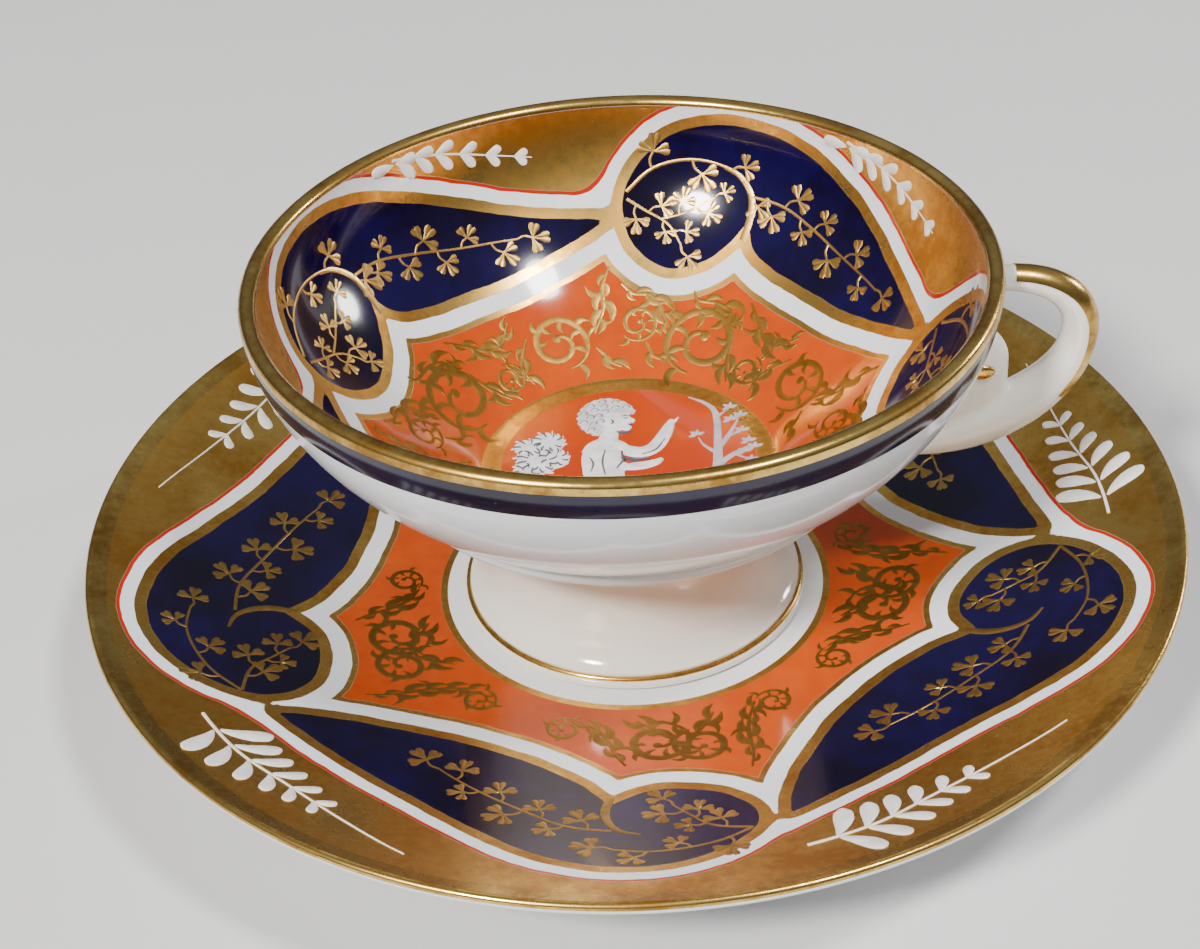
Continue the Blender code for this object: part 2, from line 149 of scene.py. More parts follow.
def dress(
    obj: bpy.types.Object, finish: bpy.types.Material, body: Body, stands_for: Sequence[str] = ()
) -> None:
    """Gives a piece its material and body, and hides the frame nodes that it stands for.

    Args:
        obj: the piece.
        finish: its material.
        body: the body it rides on.
        stands_for: frame nodes that it replaces.
    """
    obj.data.materials.clear()
    obj.data.materials.append(finish)
    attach(obj, body.value)
    if stands_for:
        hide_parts(*stands_for)
    log.info("%s: %d faces on %s", obj.name, len(obj.data.polygons), body.value)


def through(points: Sequence[Sequence[float]] | Array, count: int) -> Array:
    """Smooth curve through points: on each span the Catmull-Rom cubic of its four neighbours.

    Args:
        points: rows of any number of columns.
        count: how many rows to return, evenly spaced in the curve's parameter.

    Returns:
        The curve's rows; the first and last are the given ends.
    """
    rows = np.asarray(points, float)
    if len(rows) == 2:
        share = np.linspace(0.0, 1.0, count)[:, None]
        return rows[0] + share * (rows[1] - rows[0])
    padded = np.concatenate([2 * rows[:1] - rows[1:2], rows, 2 * rows[-1:] - rows[-2:-1]])
    place = np.linspace(0.0, len(rows) - 1.0, count)
    span = np.minimum(place.astype(int), len(rows) - 2)
    t = (place - span)[:, None]
    p, q, r, s = (padded[span + k] for k in range(4))
    square, cube = 2 * p - 5 * q + 4 * r - s, 3 * q - p - 3 * r + s
    return 0.5 * (2 * q + (r - p) * t + square * t**2 + cube * t**3)


def bezier(points: Sequence[Sequence[float]], count: int) -> Array:
    """Cubic Bezier of four points, as count rows."""
    a, b, c, d = (np.asarray(point, float) for point in points)
    t = np.linspace(0.0, 1.0, count)[:, None]
    return (1 - t) ** 3 * a + 3 * (1 - t) ** 2 * t * b + 3 * (1 - t) * t**2 * c + t**3 * d


def arc(centre: Sequence[float], radius: float, start: float, end: float, count: int) -> Array:
    """Circular arc in a profile's plane, from one angle in degrees to another."""
    angle = np.radians(np.linspace(start, end, count))
    return np.stack([centre[0] + radius * np.cos(angle), centre[1] + radius * np.sin(angle)], 1)


def offset(line: Array, distance: float) -> Array:
    """Moves a profile's points to the left of its direction of travel."""
    along = np.gradient(line, axis=0)
    along /= np.linalg.norm(along, axis=1)[:, None]
    return line + distance * np.stack([-along[:, 1], along[:, 0]], 1)


def evenly(line: Array, spacing: float) -> Array:
    """Resamples a profile to about this spacing along its length, keeping its ends."""
    lengths = np.concatenate([[0.0], np.cumsum(np.linalg.norm(np.diff(line, axis=0), axis=1))])
    wanted = np.linspace(0.0, lengths[-1], max(int(lengths[-1] / spacing), 1) + 1)
    return np.stack([np.interp(wanted, lengths, line[:, k]) for k in range(2)], 1)


def circle(sides: int) -> Array:
    """Angles in radians of equal divisions of a full turn, without its end."""
    return 2.0 * np.pi * np.arange(sides) / sides


def turned(profile: Array, sides: int, marks: dict[str, Array] | None = None) -> Surface:
    """Turns a profile about Z: point (i, j) is the profile's point i at azimuth 2 pi j / sides.

    Args:
        profile: rows of radius and height, running down the outer side. Ends on the axis become poles, and a
            profile with both ends off the axis is closed into a ring.
        sides: divisions round the axis.
        marks: named numbers per profile row and side, each of shape (rows, sides).

    Returns:
        The closed surface.
    """
    poles = profile[0, 0] < TINY
    rows = profile[1:-1] if poles else profile
    angle = circle(sides)
    radius, height = rows[:, :1], rows[:, 1:]
    grid = np.stack([radius * np.cos(angle), radius * np.sin(angle), height + 0.0 * angle], -1)
    index = np.arange(len(rows) * sides).reshape(len(rows), sides)
    after = np.roll(index, -1, axis=1)
    below, below_after = (np.roll(table, -1, axis=0) for table in (index, after))
    last = len(rows) - 1 if poles else len(rows)
    quads = np.stack([index, below, below_after, after], -1)[:last].reshape(-1, 4)
    points = grid.reshape(-1, 3)
    kept = {name: values.reshape(-1) for name, values in (marks or {}).items()}
    tris = np.zeros((0, 3), int)
    if poles:
        top, bottom = len(points), len(points) + 1
        points = np.concatenate([points, [[0.0, 0.0, profile[0, 1]], [0.0, 0.0, profile[-1, 1]]]])
        upper = np.stack([np.full(sides, top), index[0], after[0]], 1)
        lower = np.stack([np.full(sides, bottom), after[-1], index[-1]], 1)
        tris = np.concatenate([upper, lower])
        kept = {name: np.concatenate([values, [values[0], values[-1]]]) for name, values in kept.items()}
    return Surface(points, quads, tris, kept)


@dataclass
class Chart:
    """A turned face charted by azimuth (radians) and distance along its profile from the axis outwards."""

    profile: Array  # radius and height, dense
    clear: float = 0.0  # strip along the outer edge that strokes stay off

    OFF_AXIS = 0.001  # least distance from the axis along the profile
    NEAREST = 0.5  # least radius at which a width is still turned into an angle

    def __post_init__(self) -> None:
        """Works out the distance along the profile and the normal that points off the painted side."""
        steps = np.linalg.norm(np.diff(self.profile, axis=0), axis=1)
        self.lengths = np.concatenate([[0.0], np.cumsum(steps)])
        along = np.gradient(self.profile, axis=0)
        along /= np.linalg.norm(along, axis=1)[:, None]
        self.normals = np.stack([-along[:, 1], along[:, 0]], 1)

    @property
    def reach(self) -> float:
        """Length of the whole profile."""
        return float(self.lengths[-1])

    def radius(self, length: Array | float) -> Array:
        """Radius at a distance along the profile."""
        return np.interp(length, self.lengths, self.profile[:, 0])

    def place(self, azimuth: Array, length: Array, lift: Array | float) -> Array:
        """Points in space: the profile's point and lift times its normal, turned by the azimuth."""
        radius, height = (np.interp(length, self.lengths, self.profile[:, k]) for k in range(2))
        side, up = (np.interp(length, self.lengths, self.normals[:, k]) for k in range(2))
        radius = radius + lift * side
        return np.stack([radius * np.cos(azimuth), radius * np.sin(azimuth), height + lift * up], -1)

    def here(self, azimuth: float, length: float, turn: float = 0.0, mirror: float = 1.0) -> Board:
        """A local drawing board on the face.

        Args:
            azimuth: of the board's origin, in degrees.
            length: of the board's origin along the profile.
            turn: the board's turn from the tangent towards outwards, in degrees.
            mirror: -1 flips the board left to right before the turn.

        Returns:
            A function from rows (x, y, half width) in millimetres to rows (azimuth, length, half width).
        """
        cosine, sine = math.cos(math.radians(turn)), math.sin(math.radians(turn))

        def to_chart(rows: Array) -> Array:
            """Turns local rows into chart rows."""
            x, y, half = np.asarray(rows, float).T
            across, out = mirror * (x * cosine - y * sine), x * sine + y * cosine
            place = np.clip(length + out, self.OFF_AXIS, self.reach - self.clear)
            turned_by = across / np.maximum(self.radius(place), self.NEAREST)
            return np.stack([math.radians(azimuth) + turned_by, place, half], 1)

        return to_chart

    def board_on(self, line: Array, at: int, lean: float = 0.0) -> Board:
        """A board at one row of a line of chart rows; its x runs along the line, turned by lean degrees."""
        east = (line[at + 1, 0] - line[at, 0]) * float(self.radius(line[at, 1]))
        heading = math.degrees(math.atan2(line[at + 1, 1] - line[at, 1], east))
        return self.here(math.degrees(line[at, 0]), float(line[at, 1]), heading + lean)


@dataclass
class Strokes:
    """Raised strokes on a chart: thin closed domes whose edges dip just under the face."""

    chart: Chart
    lift: float = 0.04
    runs: dict[int, list[Array]] = field(default_factory=dict)

    ACROSS = np.array([-1.0, -0.72, 0.0, 0.72, 1.0])
    RISE = np.array([-0.35, 0.85, 1.0, 0.85, -0.35])
    THINNEST = 0.35  # share of the lift that a stroke of no width would have
    FULL_AT = 3.0  # lifts of half width that would add the whole lift

    def add(self, rows: Array, stations: int = 9) -> None:
        """Adds one stroke through rows (azimuth, length, half width)."""
        self.runs.setdefault(stations, []).append(through(rows, stations))

    def surface(self) -> Surface:
        """Builds all strokes as whole arrays.

        Point (stroke, station, k) stands ACROSS[k] half widths to the side of the stroke's line and RISE[k]
        lifts above the face; the two edges close underneath, and a five-sided cap closes each end.

        Returns:
            The strokes as one surface.
        """
        return join([self._run(stations, np.stack(lines)) for stations, lines in sorted(self.runs.items())])

    def _run(self, stations: int, lines: Array) -> Surface:
        """Strokes with one number of stations: lines has shape (strokes, stations, 3)."""
        azimuth, length, half = (lines[..., k] for k in range(3))
        radius = self.chart.radius(length)
        east = np.gradient(azimuth, axis=1) * radius
        north = np.gradient(length, axis=1)
        size = np.maximum(np.hypot(east, north), TINY)
        side = half[..., None] * self.ACROSS
        per_radius = north / size / np.maximum(radius, self.chart.NEAREST)
        spread_azimuth = azimuth[..., None] - per_radius[..., None] * side
        spread_length = length[..., None] + (east / size)[..., None] * side
        share = np.minimum(1.0, self.THINNEST + half[..., None] / self.lift / self.FULL_AT)
        rise = self.RISE * self.lift * share
        points = self.chart.place(spread_azimuth, spread_length, rise).reshape(-1, 3)
        wide = len(self.ACROSS)
        index = np.arange(len(points)).reshape(len(lines), stations, wide)
        after = np.roll(index, -1, axis=2)
        quads = np.stack([index[:, :-1], index[:, 1:], after[:, 1:], after[:, :-1]], -1).reshape(-1, 4)
        caps = []
        for ring, order in ((index[:, 0], 1), (index[:, -1], -1)):
            fans = [np.stack([ring[:, 0], ring[:, k], ring[:, k + 1]], -1) for k in range(1, wide - 1)]
            caps.append(np.stack(fans, 1).reshape(-1, 3)[:, ::order])
        return Surface(points, quads, np.concatenate(caps)).facing_out()


# Materials ----------------------------------------------------------------------------------------------

Colour = tuple[float, float, float]
Tint = Colour | bpy.types.NodeSocket


class Value:
    """A number on its way through a material; arithmetic on it adds Math nodes."""

    def __init__(self, bench: "Bench", socket: bpy.types.NodeSocket) -> None:
        """Wraps an output socket."""
        self.bench = bench
        self.socket = socket

    def _math(self, operation: str, *terms: "Value | float", clamp: bool = False) -> "Value":
        """Adds one Math node over the terms."""
        plain = [term.socket if isinstance(term, Value) else term for term in terms]
        settings = {"operation": operation, "use_clamp": clamp}
        node = self.bench.node("ShaderNodeMath", settings, dict(enumerate(plain)))
        return Value(self.bench, node.outputs[0])

    def __add__(self, other: "Value | float") -> "Value":
        """Sum."""
        return self._math("ADD", self, other)

    def __radd__(self, other: float) -> "Value":
        """Sum with a number on the left."""
        return self._math("ADD", other, self)

    def __sub__(self, other: "Value | float") -> "Value":
        """Difference."""
        return self._math("SUBTRACT", self, other)

    def __rsub__(self, other: float) -> "Value":
        """Difference from a number on the left."""
        return self._math("SUBTRACT", other, self)

    def __mul__(self, other: "Value | float") -> "Value":
        """Product."""
        return self._math("MULTIPLY", self, other)

    def __rmul__(self, other: float) -> "Value":
        """Product with a number on the left."""
        return self._math("MULTIPLY", other, self)

    def above(self, edge: float, soft: float = 0.08) -> "Value":
        """0 below an edge and 1 above it, over a soft width."""
        return self._math("MULTIPLY_ADD", self, 1.0 / soft, 0.5 - edge / soft, clamp=True)

    def between(self, low: float, high: float, soft: float = 0.08) -> "Value":
        """1 between two edges."""
        return self.above(low, soft) * (1.0 - self.above(high, soft))


class Bench:
    """Builds one material's nodes."""

    MIX_INPUTS = (0, 6, 7)  # places of the Mix node's factor and of its two colours
    MIX_RESULT = 2  # place of its colour output

    def __init__(self, name: str) -> None:
        """Makes the material with its Principled shader."""
        self.material = bpy.data.materials.new(name)
        self.material.use_nodes = True
        self.tree = self.material.node_tree
        self.shader = self.tree.nodes["Principled BSDF"]

    def node(self, kind: str, settings: dict[str, object], values: dict[str | int, object]) -> bpy.types.Node:
        """Adds a node.

        Args:
            kind: its type.
            settings: properties set before its sockets.
            values: numbers, colours or output sockets by the input's name or place.

        Returns:
            The node.
        """
        node = self.tree.nodes.new(kind)
        for name, value in settings.items():
            setattr(node, name, value)
        for key, value in values.items():
            if isinstance(value, bpy.types.NodeSocket):
                self.tree.links.new(value, node.inputs[key])
            else:
                node.inputs[key].default_value = value
        return node

    def mark(self, name: str) -> Value:
        """The piece's own number of this name."""
        node = self.node("ShaderNodeAttribute", {"attribute_name": name}, {})
        return Value(self, node.outputs["Fac"])

    def noise(self, scale: float, detail: float = 4.0, rough: float = 0.55) -> Value:
        """Noise over the piece's own place, with scale in grains per metre."""
        place = self.node("ShaderNodeTexCoord", {}, {}).outputs["Object"]
        values = {"Vector": place, "Scale": scale, "Detail": detail, "Roughness": rough}
        return Value(self, self.node("ShaderNodeTexNoise", {}, values).outputs["Fac"])

    def mix(self, low: "Tint", high: "Tint", share: Value) -> bpy.types.NodeSocket:
        """Blends two colours by a share."""
        plain = [(*end, 1.0) if isinstance(end, tuple) else end for end in (low, high)]
        values = dict(zip(self.MIX_INPUTS, (share.socket, *plain)))
        return self.node("ShaderNodeMix", {"data_type": "RGBA"}, values).outputs[self.MIX_RESULT]

    def bump(self, height: Value, strength: float, distance: float) -> None:
        """Feeds a bump to the shader's normal."""
        values = {"Height": height.socket, "Strength": strength, "Distance": distance}
        node = self.node("ShaderNodeBump", {}, values)
        self.tree.links.new(node.outputs[0], self.shader.inputs["Normal"])

    def shade(self, **sockets: "Value | Tint | float") -> bpy.types.Material:
        """Sets or links the shader's inputs, with underscores for spaces, and returns the material."""
        for key, value in sockets.items():
            target = self.shader.inputs[key.replace("_", " ")]
            if isinstance(value, Value):
                self.tree.links.new(value.socket, target)
            elif isinstance(value, bpy.types.NodeSocket):
                self.tree.links.new(value, target)
            else:
                target.default_value = (*value, 1.0) if isinstance(value, tuple) else value
        return self.material


@dataclass(frozen=True)
class Glaze:
    """Clear-glazed porcelain: a faint cloud of tint, tiny specks, soft waviness."""

    name: str
    body: Colour
    shade: Colour
    speck: Colour = (0.30, 0.25, 0.19)
    speckled: float = 0.35  # strength of the specks
    roughness: float = 0.09
    cloudy: float = 0.06  # roughness added where the glaze clouds
    coat: float = 0.2
    wave: float = 0.06  # strength of the waviness

    def material(self) -> bpy.types.Material:
        """Builds the finish."""
        bench = Bench(self.name)
        cloud = bench.noise(55.0, 3.0)
        specks = bench.noise(1900.0, 1.0).above(0.79, 0.03)
        base = bench.mix(self.shade, self.body, cloud.above(0.5, 0.5))
        base = bench.mix(base, self.speck, specks * self.speckled)
        bench.bump(bench.noise(140.0, 2.0), self.wave, 0.0004)
        roughness = self.roughness + self.cloudy * cloud
        return bench.shade(Base_Color=base, Roughness=roughness, Coat_Weight=self.coat, Coat_Roughness=0.05)


@dataclass(frozen=True)
class Gilding:
    """Burnished gold fired on the glaze, with brown rubbed patches and a fine brushed grain."""

    name: str
    bright: Colour = (0.88, 0.60, 0.17)
    rubbed: Colour = (0.36, 0.19, 0.04)
    wear: float = 0.5
    roughness: float = 0.17
    dulled: float = 0.18  # roughness added where the gold is rubbed
    brushed: float = 0.08  # strength of the grain

    def colour(self, bench: Bench) -> tuple[bpy.types.NodeSocket, Value]:
        """The gold's colour and its wear, 0 to 1, for this material or a painted one."""
        patches = bench.noise(90.0, 6.0, 0.62)
        grain = bench.noise(900.0, 3.0, 0.6)
        worn = (patches * 0.75 + grain * 0.25).above(1.0 - self.wear, 0.22)
        return bench.mix(self.bright, self.rubbed, worn), worn

    def material(self) -> bpy.types.Material:
        """Builds the finish."""
        bench = Bench(self.name)
        base, worn = self.colour(bench)
        bench.bump(bench.noise(700.0, 3.0), self.brushed, 0.0002)
        return bench.shade(Base_Color=base, Metallic=1.0, Roughness=self.roughness + self.dulled * worn)


@dataclass(frozen=True)
class Enamel:
    """Opaque paste enamel, slightly uneven, between two tones."""

    name: str
    light: Colour
    dark: Colour
    roughness: float = 0.3
    uneven: float = 0.15  # strength of the unevenness in relief and in roughness

    def material(self) -> bpy.types.Material:
        """Builds the finish."""
        bench = Bench(self.name)
        grain = bench.noise(600.0, 4.0)
        base = bench.mix(self.dark, self.light, grain.above(0.45, 0.4))
        bench.bump(grain, self.uneven, 0.0002)
        return bench.shade(Base_Color=base, Roughness=self.roughness + self.uneven * grain)


@dataclass(frozen=True)
class Painting:
    """The painted ground of a turned face, in zones that follow the distance to the cobalt panels.

    The marks are panel, the distance outside the cobalt; ring, positive outside the middle line of the panels'
    ring; reach, the distance along the profile; and face, 1 on the painted side.
    """

    name: str
    inner_line: tuple[float, float]  # gold ring that ends the orange field inwards
    inside: Colour  # ground inside that ring
    outline: float = 1.5  # outer edges of the zones, as distances from the cobalt
    border: float = 3.9
    gold_edge: float = 4.7
    outer_border: float = 3.3
    red_edge: float = 3.8
    wander: float = 0.5  # how far the painted edges wander
    cobalt: tuple[Colour, Colour] = ((0.0028, 0.0006, 0.010), (0.0046, 0.0010, 0.047))
    orange: tuple[Colour, Colour] = ((0.40, 0.044, 0.0), (0.52, 0.070, 0.0))
    white: tuple[Colour, Colour] = ((0.70, 0.74, 0.80), (0.82, 0.85, 0.89))
    red: Colour = (0.40, 0.018, 0.0)
    coat: float = 0.3
    specular: float = 0.3

    def material(self, gold: Gilding, glaze: Colour) -> bpy.types.Material:
        """Builds the finish.

        Args:
            gold: finish of the gilded zones.
            glaze: colour of the unpainted side.

        Returns:
            The material.
        """
        bench = Bench(self.name)
        panel, ring, reach, face = (bench.mark(name) for name in ("panel", "ring", "reach", "face"))
        edge = panel + (bench.noise(260.0, 2.0) - 0.5) * self.wander
        outside = ring.above(0.0, 0.02)
        inward = 1.0 - outside
        cloud = bench.noise(70.0, 4.0)
        fine = bench.noise(420.0, 4.0)

        cobalt = bench.mix(*self.cobalt, (cloud * 0.7 + fine * 0.3).above(0.55, 0.3))
        white = bench.mix(*self.white, cloud.above(0.5, 0.5))
        orange = bench.mix(*self.orange, (cloud * 0.6 + fine * 0.4).above(0.5, 0.35))
        gilt, worn = gold.colour(bench)

        outline = edge.between(0.0, self.outline)
        border_line = edge.between(self.border, self.gold_edge) * inward
        red_line = edge.between(self.outer_border, self.red_edge) * outside
        ground = edge.above(self.red_edge) * outside
        field_orange = edge.above(self.gold_edge) * inward
        circle = reach.between(*self.inner_line)
        centre = 1.0 - reach.above(self.inner_line[0])

        base = bench.mix(cobalt, white, edge.above(self.outline))
        base = bench.mix(base, orange, field_orange)
        base = bench.mix(base, self.red, red_line)
        base = bench.mix(base, self.inside, centre)
        gilded = self._any(outline, border_line, ground) * (1.0 - centre)
        gilded = self._any(gilded, circle) * face
        base = bench.mix(base, gilt, gilded)
        base = bench.mix(glaze, base, face)
        bench.bump(fine * 0.3 + gilded, 0.12, 0.00006)
        roughness = 0.09 + 0.05 * cloud + gilded * (0.13 + 0.16 * worn)
        return bench.shade(
            Base_Color=base,
            Metallic=gilded,
            Roughness=roughness,
            Coat_Weight=self.coat * (1.0 - gilded),
            Coat_Roughness=0.03,
            Specular_IOR_Level=self.specular,
        )

    @staticmethod
    def _any(first: Value, *others: Value) -> Value:
        """1 where any of the masks is 1."""
        total = 1.0 - first
        for mask in others:
            total = total * (1.0 - mask)
        return 1.0 - total


# Painted decoration --------------------------------------------------------------------------------------


@dataclass(frozen=True)
class Panel:
    """Where one comma-shaped cobalt panel lies: tail tip, span to the next tip, and the lobe's growth."""

    tip: float
    span: float
    reach: float = 1.0


@dataclass
class PanelRing:
    """A ring of comma-shaped panels with their gilt sprays, on a chart.

    Outline rows are (share of the span from the tail tip, distance along the profile).
    """

    chart: Chart
    panels: Sequence[Panel]
    outer: Sequence[tuple[float, float]]  # tail tip, over the lobe, to the notch
    inner: Sequence[tuple[float, float]]  # notch, under the belly, back to the tail tip
    middle: Sequence[tuple[float, float]]  # a line inside the panel from tip to tip
    waist: float  # distance along the profile about which the lobe's reach grows
    rounding: float = 4.0  # of the white border's outer hollows
    rounded_from: float = 1.2  # distance from a panel at which the rounding sets in
    rounded_over: float = 1.5  # and over which it grows to the full
    margin: float = 22.0  # degrees past a panel's span within which its distance is worked out

    SLICE = 2000  # points that are measured at a time

    def to_chart(self, panel: Panel, rows: Array) -> Array:
        """Panel rows (share, length, ...) as chart rows (azimuth, length, ...)."""
        rows = np.array(rows, float)
        rows[:, 0] = np.radians(panel.tip + panel.span * rows[:, 0])
        grown = self.waist + (rows[:, 1] - self.waist) * panel.reach
        rows[:, 1] = np.where(rows[:, 1] > self.waist, grown, rows[:, 1])
        return rows

    def outline(self, panel: Panel) -> Array:
        """The panel's closed outline as chart rows: smooth but for the tail tip and the notch."""
        outer = through(self.outer, 10 * len(self.outer))
        inner = through([self.outer[-1], *self.inner, self.outer[0]], 10 * len(self.inner))
        return self.to_chart(panel, np.concatenate([outer, inner[1:-1]]))

    def marks(self, azimuth: Array, length: Array) -> dict[str, Array]:
        """Distances for the painting at grid points.

        The distance to a panel is the least distance in space to its outline's segments, negative where the
        even-odd rule puts the point inside. Outside the ring's middle line the panels' distances are blended
        by a polynomial smooth minimum, which rounds the hollows of the border.

        Args:
            azimuth: in radians, of any shape.
            length: along the profile, same shape.

        Returns:
            The marks panel, ring and reach.
        """
        shape = azimuth.shape
        azimuth, length = azimuth.ravel(), length.ravel()
        points = self.chart.place(azimuth, length, 0.0)
        per_panel = np.full((len(self.panels), len(points)), FAR)
        for k, panel in enumerate(self.panels):
            outline = self.outline(panel)
            corners = self.chart.place(outline[:, 0], outline[:, 1], 0.0)
            middle = math.radians(panel.tip + panel.span / 2)
            turn = np.angle(np.exp(1j * (azimuth - middle)))
            near = np.abs(turn) < math.radians(panel.span / 2 + self.margin)
            place = np.stack([turn[near] + middle, length[near]], 1)
            per_panel[k, near] = self._distance(points[near], corners, place, outline)
        sharp = per_panel.min(axis=0)
        ring = length - self._middle_line(azimuth)
        soft = per_panel[0]
        for other in per_panel[1:]:
            share = np.clip(0.5 + 0.5 * (other - soft) / self.rounding, 0.0, 1.0)
            soft = other * (1 - share) + soft * share - self.rounding * share * (1 - share)
        blend = np.clip((sharp - self.rounded_from) / self.rounded_over, 0.0, 1.0)
        distance = np.where(ring > 0.0, sharp + blend * (soft - sharp), sharp)
        marks = {"panel": distance, "ring": ring, "reach": length}
        return {name: values.reshape(shape) for name, values in marks.items()}

    def _middle_line(self, azimuth: Array) -> Array:
        """Length of the ring's middle line at each azimuth, joined from panel to panel."""
        line = np.concatenate([self.to_chart(panel, through(self.middle, 40))[:-1] for panel in self.panels])
        full = 2 * np.pi
        knots = np.mod(line[:, 0], full)
        order = np.argsort(knots)
        return np.interp(np.mod(azimuth, full), knots[order], line[order, 1], period=full)

    def _distance(self, points: Array, corners: Array, places: Array, outline: Array) -> Array:
        """Signed distance to one outline, in slices that keep memory small.

        Args:
            points: in space, one per row.
            corners: the outline's corners in space.
            places: azimuth and length of the points.
            outline: azimuth and length of the corners.

        Returns:
            One distance per point, negative inside.
        """
        result = np.empty(len(points))
        start, end = corners, np.roll(corners, -1, axis=0)
        edge = end - start
        size = np.maximum((edge**2).sum(axis=1), TINY**2)
        a0, l0 = outline[:, 0], outline[:, 1]
        a1, l1 = np.roll(a0, -1), np.roll(l0, -1)
        rise = np.where(np.abs(l1 - l0) < TINY, TINY, l1 - l0)
        for first in range(0, len(points), self.SLICE):
            part = slice(first, first + self.SLICE)
            gap = points[part, None, :] - start
            along = np.clip((gap * edge).sum(axis=2) / size, 0.0, 1.0)
            near = gap - along[..., None] * edge
            distance = np.sqrt((near**2).sum(axis=2).min(axis=1))
            here_a, here_l = places[part, :1], places[part, 1:]
            spans = (l0 > here_l) != (l1 > here_l)
            crosses = spans & (here_a < a0 + (here_l - l0) / rise * (a1 - a0))
            result[part] = np.where(crosses.sum(axis=1) % 2 == 1, -distance, distance)
        return result


@dataclass
class GiltSpray:
    """A fired-gold stem with side stems, each ending in a three-petalled flower."""

    stem: Sequence[tuple[float, float]]  # panel rows, root first
    flowers: int
    size: float = 2.0  # petal length
    first: float = 0.22  # share of the stem where flowers start
    side: float = 1.0  # side of the first flower
    half_width: float = 0.25

    LEAN = 52.0  # degrees between a side stem and the stem, give or take
    LEAN_DRIFT = 9.0
    SIZE_DRIFT = 0.14  # share of the size
    PETALS = (-74.0, 0.0, 74.0)
    CLEFT = 12.0  # degrees from a petal's middle to its halves
    PETAL_WAY = np.array([0.0, 0.4, 0.75, 1.0])
    PETAL_HALF = np.array([0.05, 0.09, 0.22, 0.13])

    def draw(self, strokes: Strokes, ring: PanelRing, panel: Panel) -> None:
        """Draws the spray in one panel."""
        rows = ring.to_chart(panel, np.array(self.stem))
        line = through(rows, 40)
        taper = np.linspace(self.half_width, 0.6 * self.half_width, len(line))
        strokes.add(np.column_stack([line, taper])[::2], 21)
        side = self.side
        for k in range(self.flowers):
            share = self.first + (1.0 - self.first) * k / max(self.flowers - 1, 1)
            at = min(int(share * (len(line) - 1)), len(line) - 2)
            lean = side * (self.LEAN + self.LEAN_DRIFT * math.sin(2.3 * k + panel.tip))
            if k == self.flowers - 1:
                lean = 0.0
            size = self.size * (1.0 + self.SIZE_DRIFT * math.sin(1.7 * k + 0.1 * panel.tip))
            self._flower(strokes, ring.chart.board_on(line, at, lean), size, side)
            side = -side

    def _flower(self, strokes: Strokes, board: Board, size: float, side: float) -> None:
        """A curved side stem along the board's x, with three cleft petals at its end."""
        reach = 0.95 * size
        thin = 0.75 * self.half_width
        stalk = [(0.0, 0.0, thin), (0.5 * reach, 0.16 * side * reach, thin), (reach, 0.0, 0.8 * thin)]
        strokes.add(board(np.array(stalk)), 7)
        for petal in self.PETALS:
            for half in (-self.CLEFT, self.CLEFT):
                turn = math.radians(petal + half)
                out = self.PETAL_WAY * size * (1.05 if petal == 0.0 else 0.92)
                width = self.PETAL_HALF * size
                rows = np.stack([reach + out * math.cos(turn), out * math.sin(turn), width], 1)
                strokes.add(board(rows), 6)


def leaflet(
    strokes: Strokes,
    board: Board,
    root: Sequence[float],
    heading: float,
    bend: float,
    length: float,
    half: float,
) -> None:
    """One acanthus leaflet: a comma that is widest past its root.

    Args:
        strokes: where it is drawn.
        board: the drawing board.
        root: x and y of its root on the board.
        heading: direction in which it leaves its root, in radians.
        bend: how far it turns towards its tip, in radians.
        length: of the leaflet.
        half: its greatest half width.
    """
    step = np.array([0.0, 0.3, 0.65, 1.0])
    turn = heading + bend * step
    width = np.array([0.3, 1.0, 0.8, 0.12]) * half
    rows = np.stack([root[0] + length * step * np.cos(turn), root[1] + length * step * np.sin(turn), width], 1)
    strokes.add(board(rows), 8)


@dataclass
class Scroll:
    """An acanthus C-scroll: a spiral that closes on a ball, with leaflets inside its curve and on its back."""

    radius: float
    turns: float = 1.45
    half_width: float = 0.4
    inside: int = 6
    outside: int = 4

    def draw(self, strokes: Strokes, board: Board) -> None:
        """Draws the scroll; its radius, R (1 - 0.82 share^1.7), stays wide at first and tightens at the eye."""
        share = np.linspace(0.0, 1.0, 34)
        angle = -0.6 * np.pi + 2.0 * np.pi * self.turns * share
        radius = self.radius * (1.0 - 0.82 * share**1.7)
        x, y = radius * np.cos(angle), radius * np.sin(angle)
        half = np.interp(share, [0.0, 0.15, 0.45, 1.0], [0.35, 0.9, 1.2, 0.6]) * self.half_width
        strokes.add(board(np.column_stack([x, y, half])), 44)
        eye = 0.15 * self.radius
        swell = ((-1.0, 0.05), (-0.5, eye), (0.5, eye), (1.0, 0.05))
        strokes.add(board(np.array([(x[-1] + away * eye, y[-1], half) for away, half in swell])), 7)
        for k in range(self.inside):
            at = int((0.1 + 0.38 * k / max(self.inside - 1, 1)) * (len(share) - 1))
            length = (0.6 - 0.24 * k / self.inside) * self.radius
            leaflet(strokes, board, (x[at], y[at]), angle[at] + 2.3, 1.05, length, 0.11 * self.radius)
        for k in range(self.outside):
            at = int((0.06 + 0.36 * k / max(self.outside - 1, 1)) * (len(share) - 1))
            length = (0.62 - 0.3 * k / self.outside) * self.radius
            leaflet(strokes, board, (x[at], y[at]), angle[at] + 0.95, -1.3, length, 0.13 * self.radius)


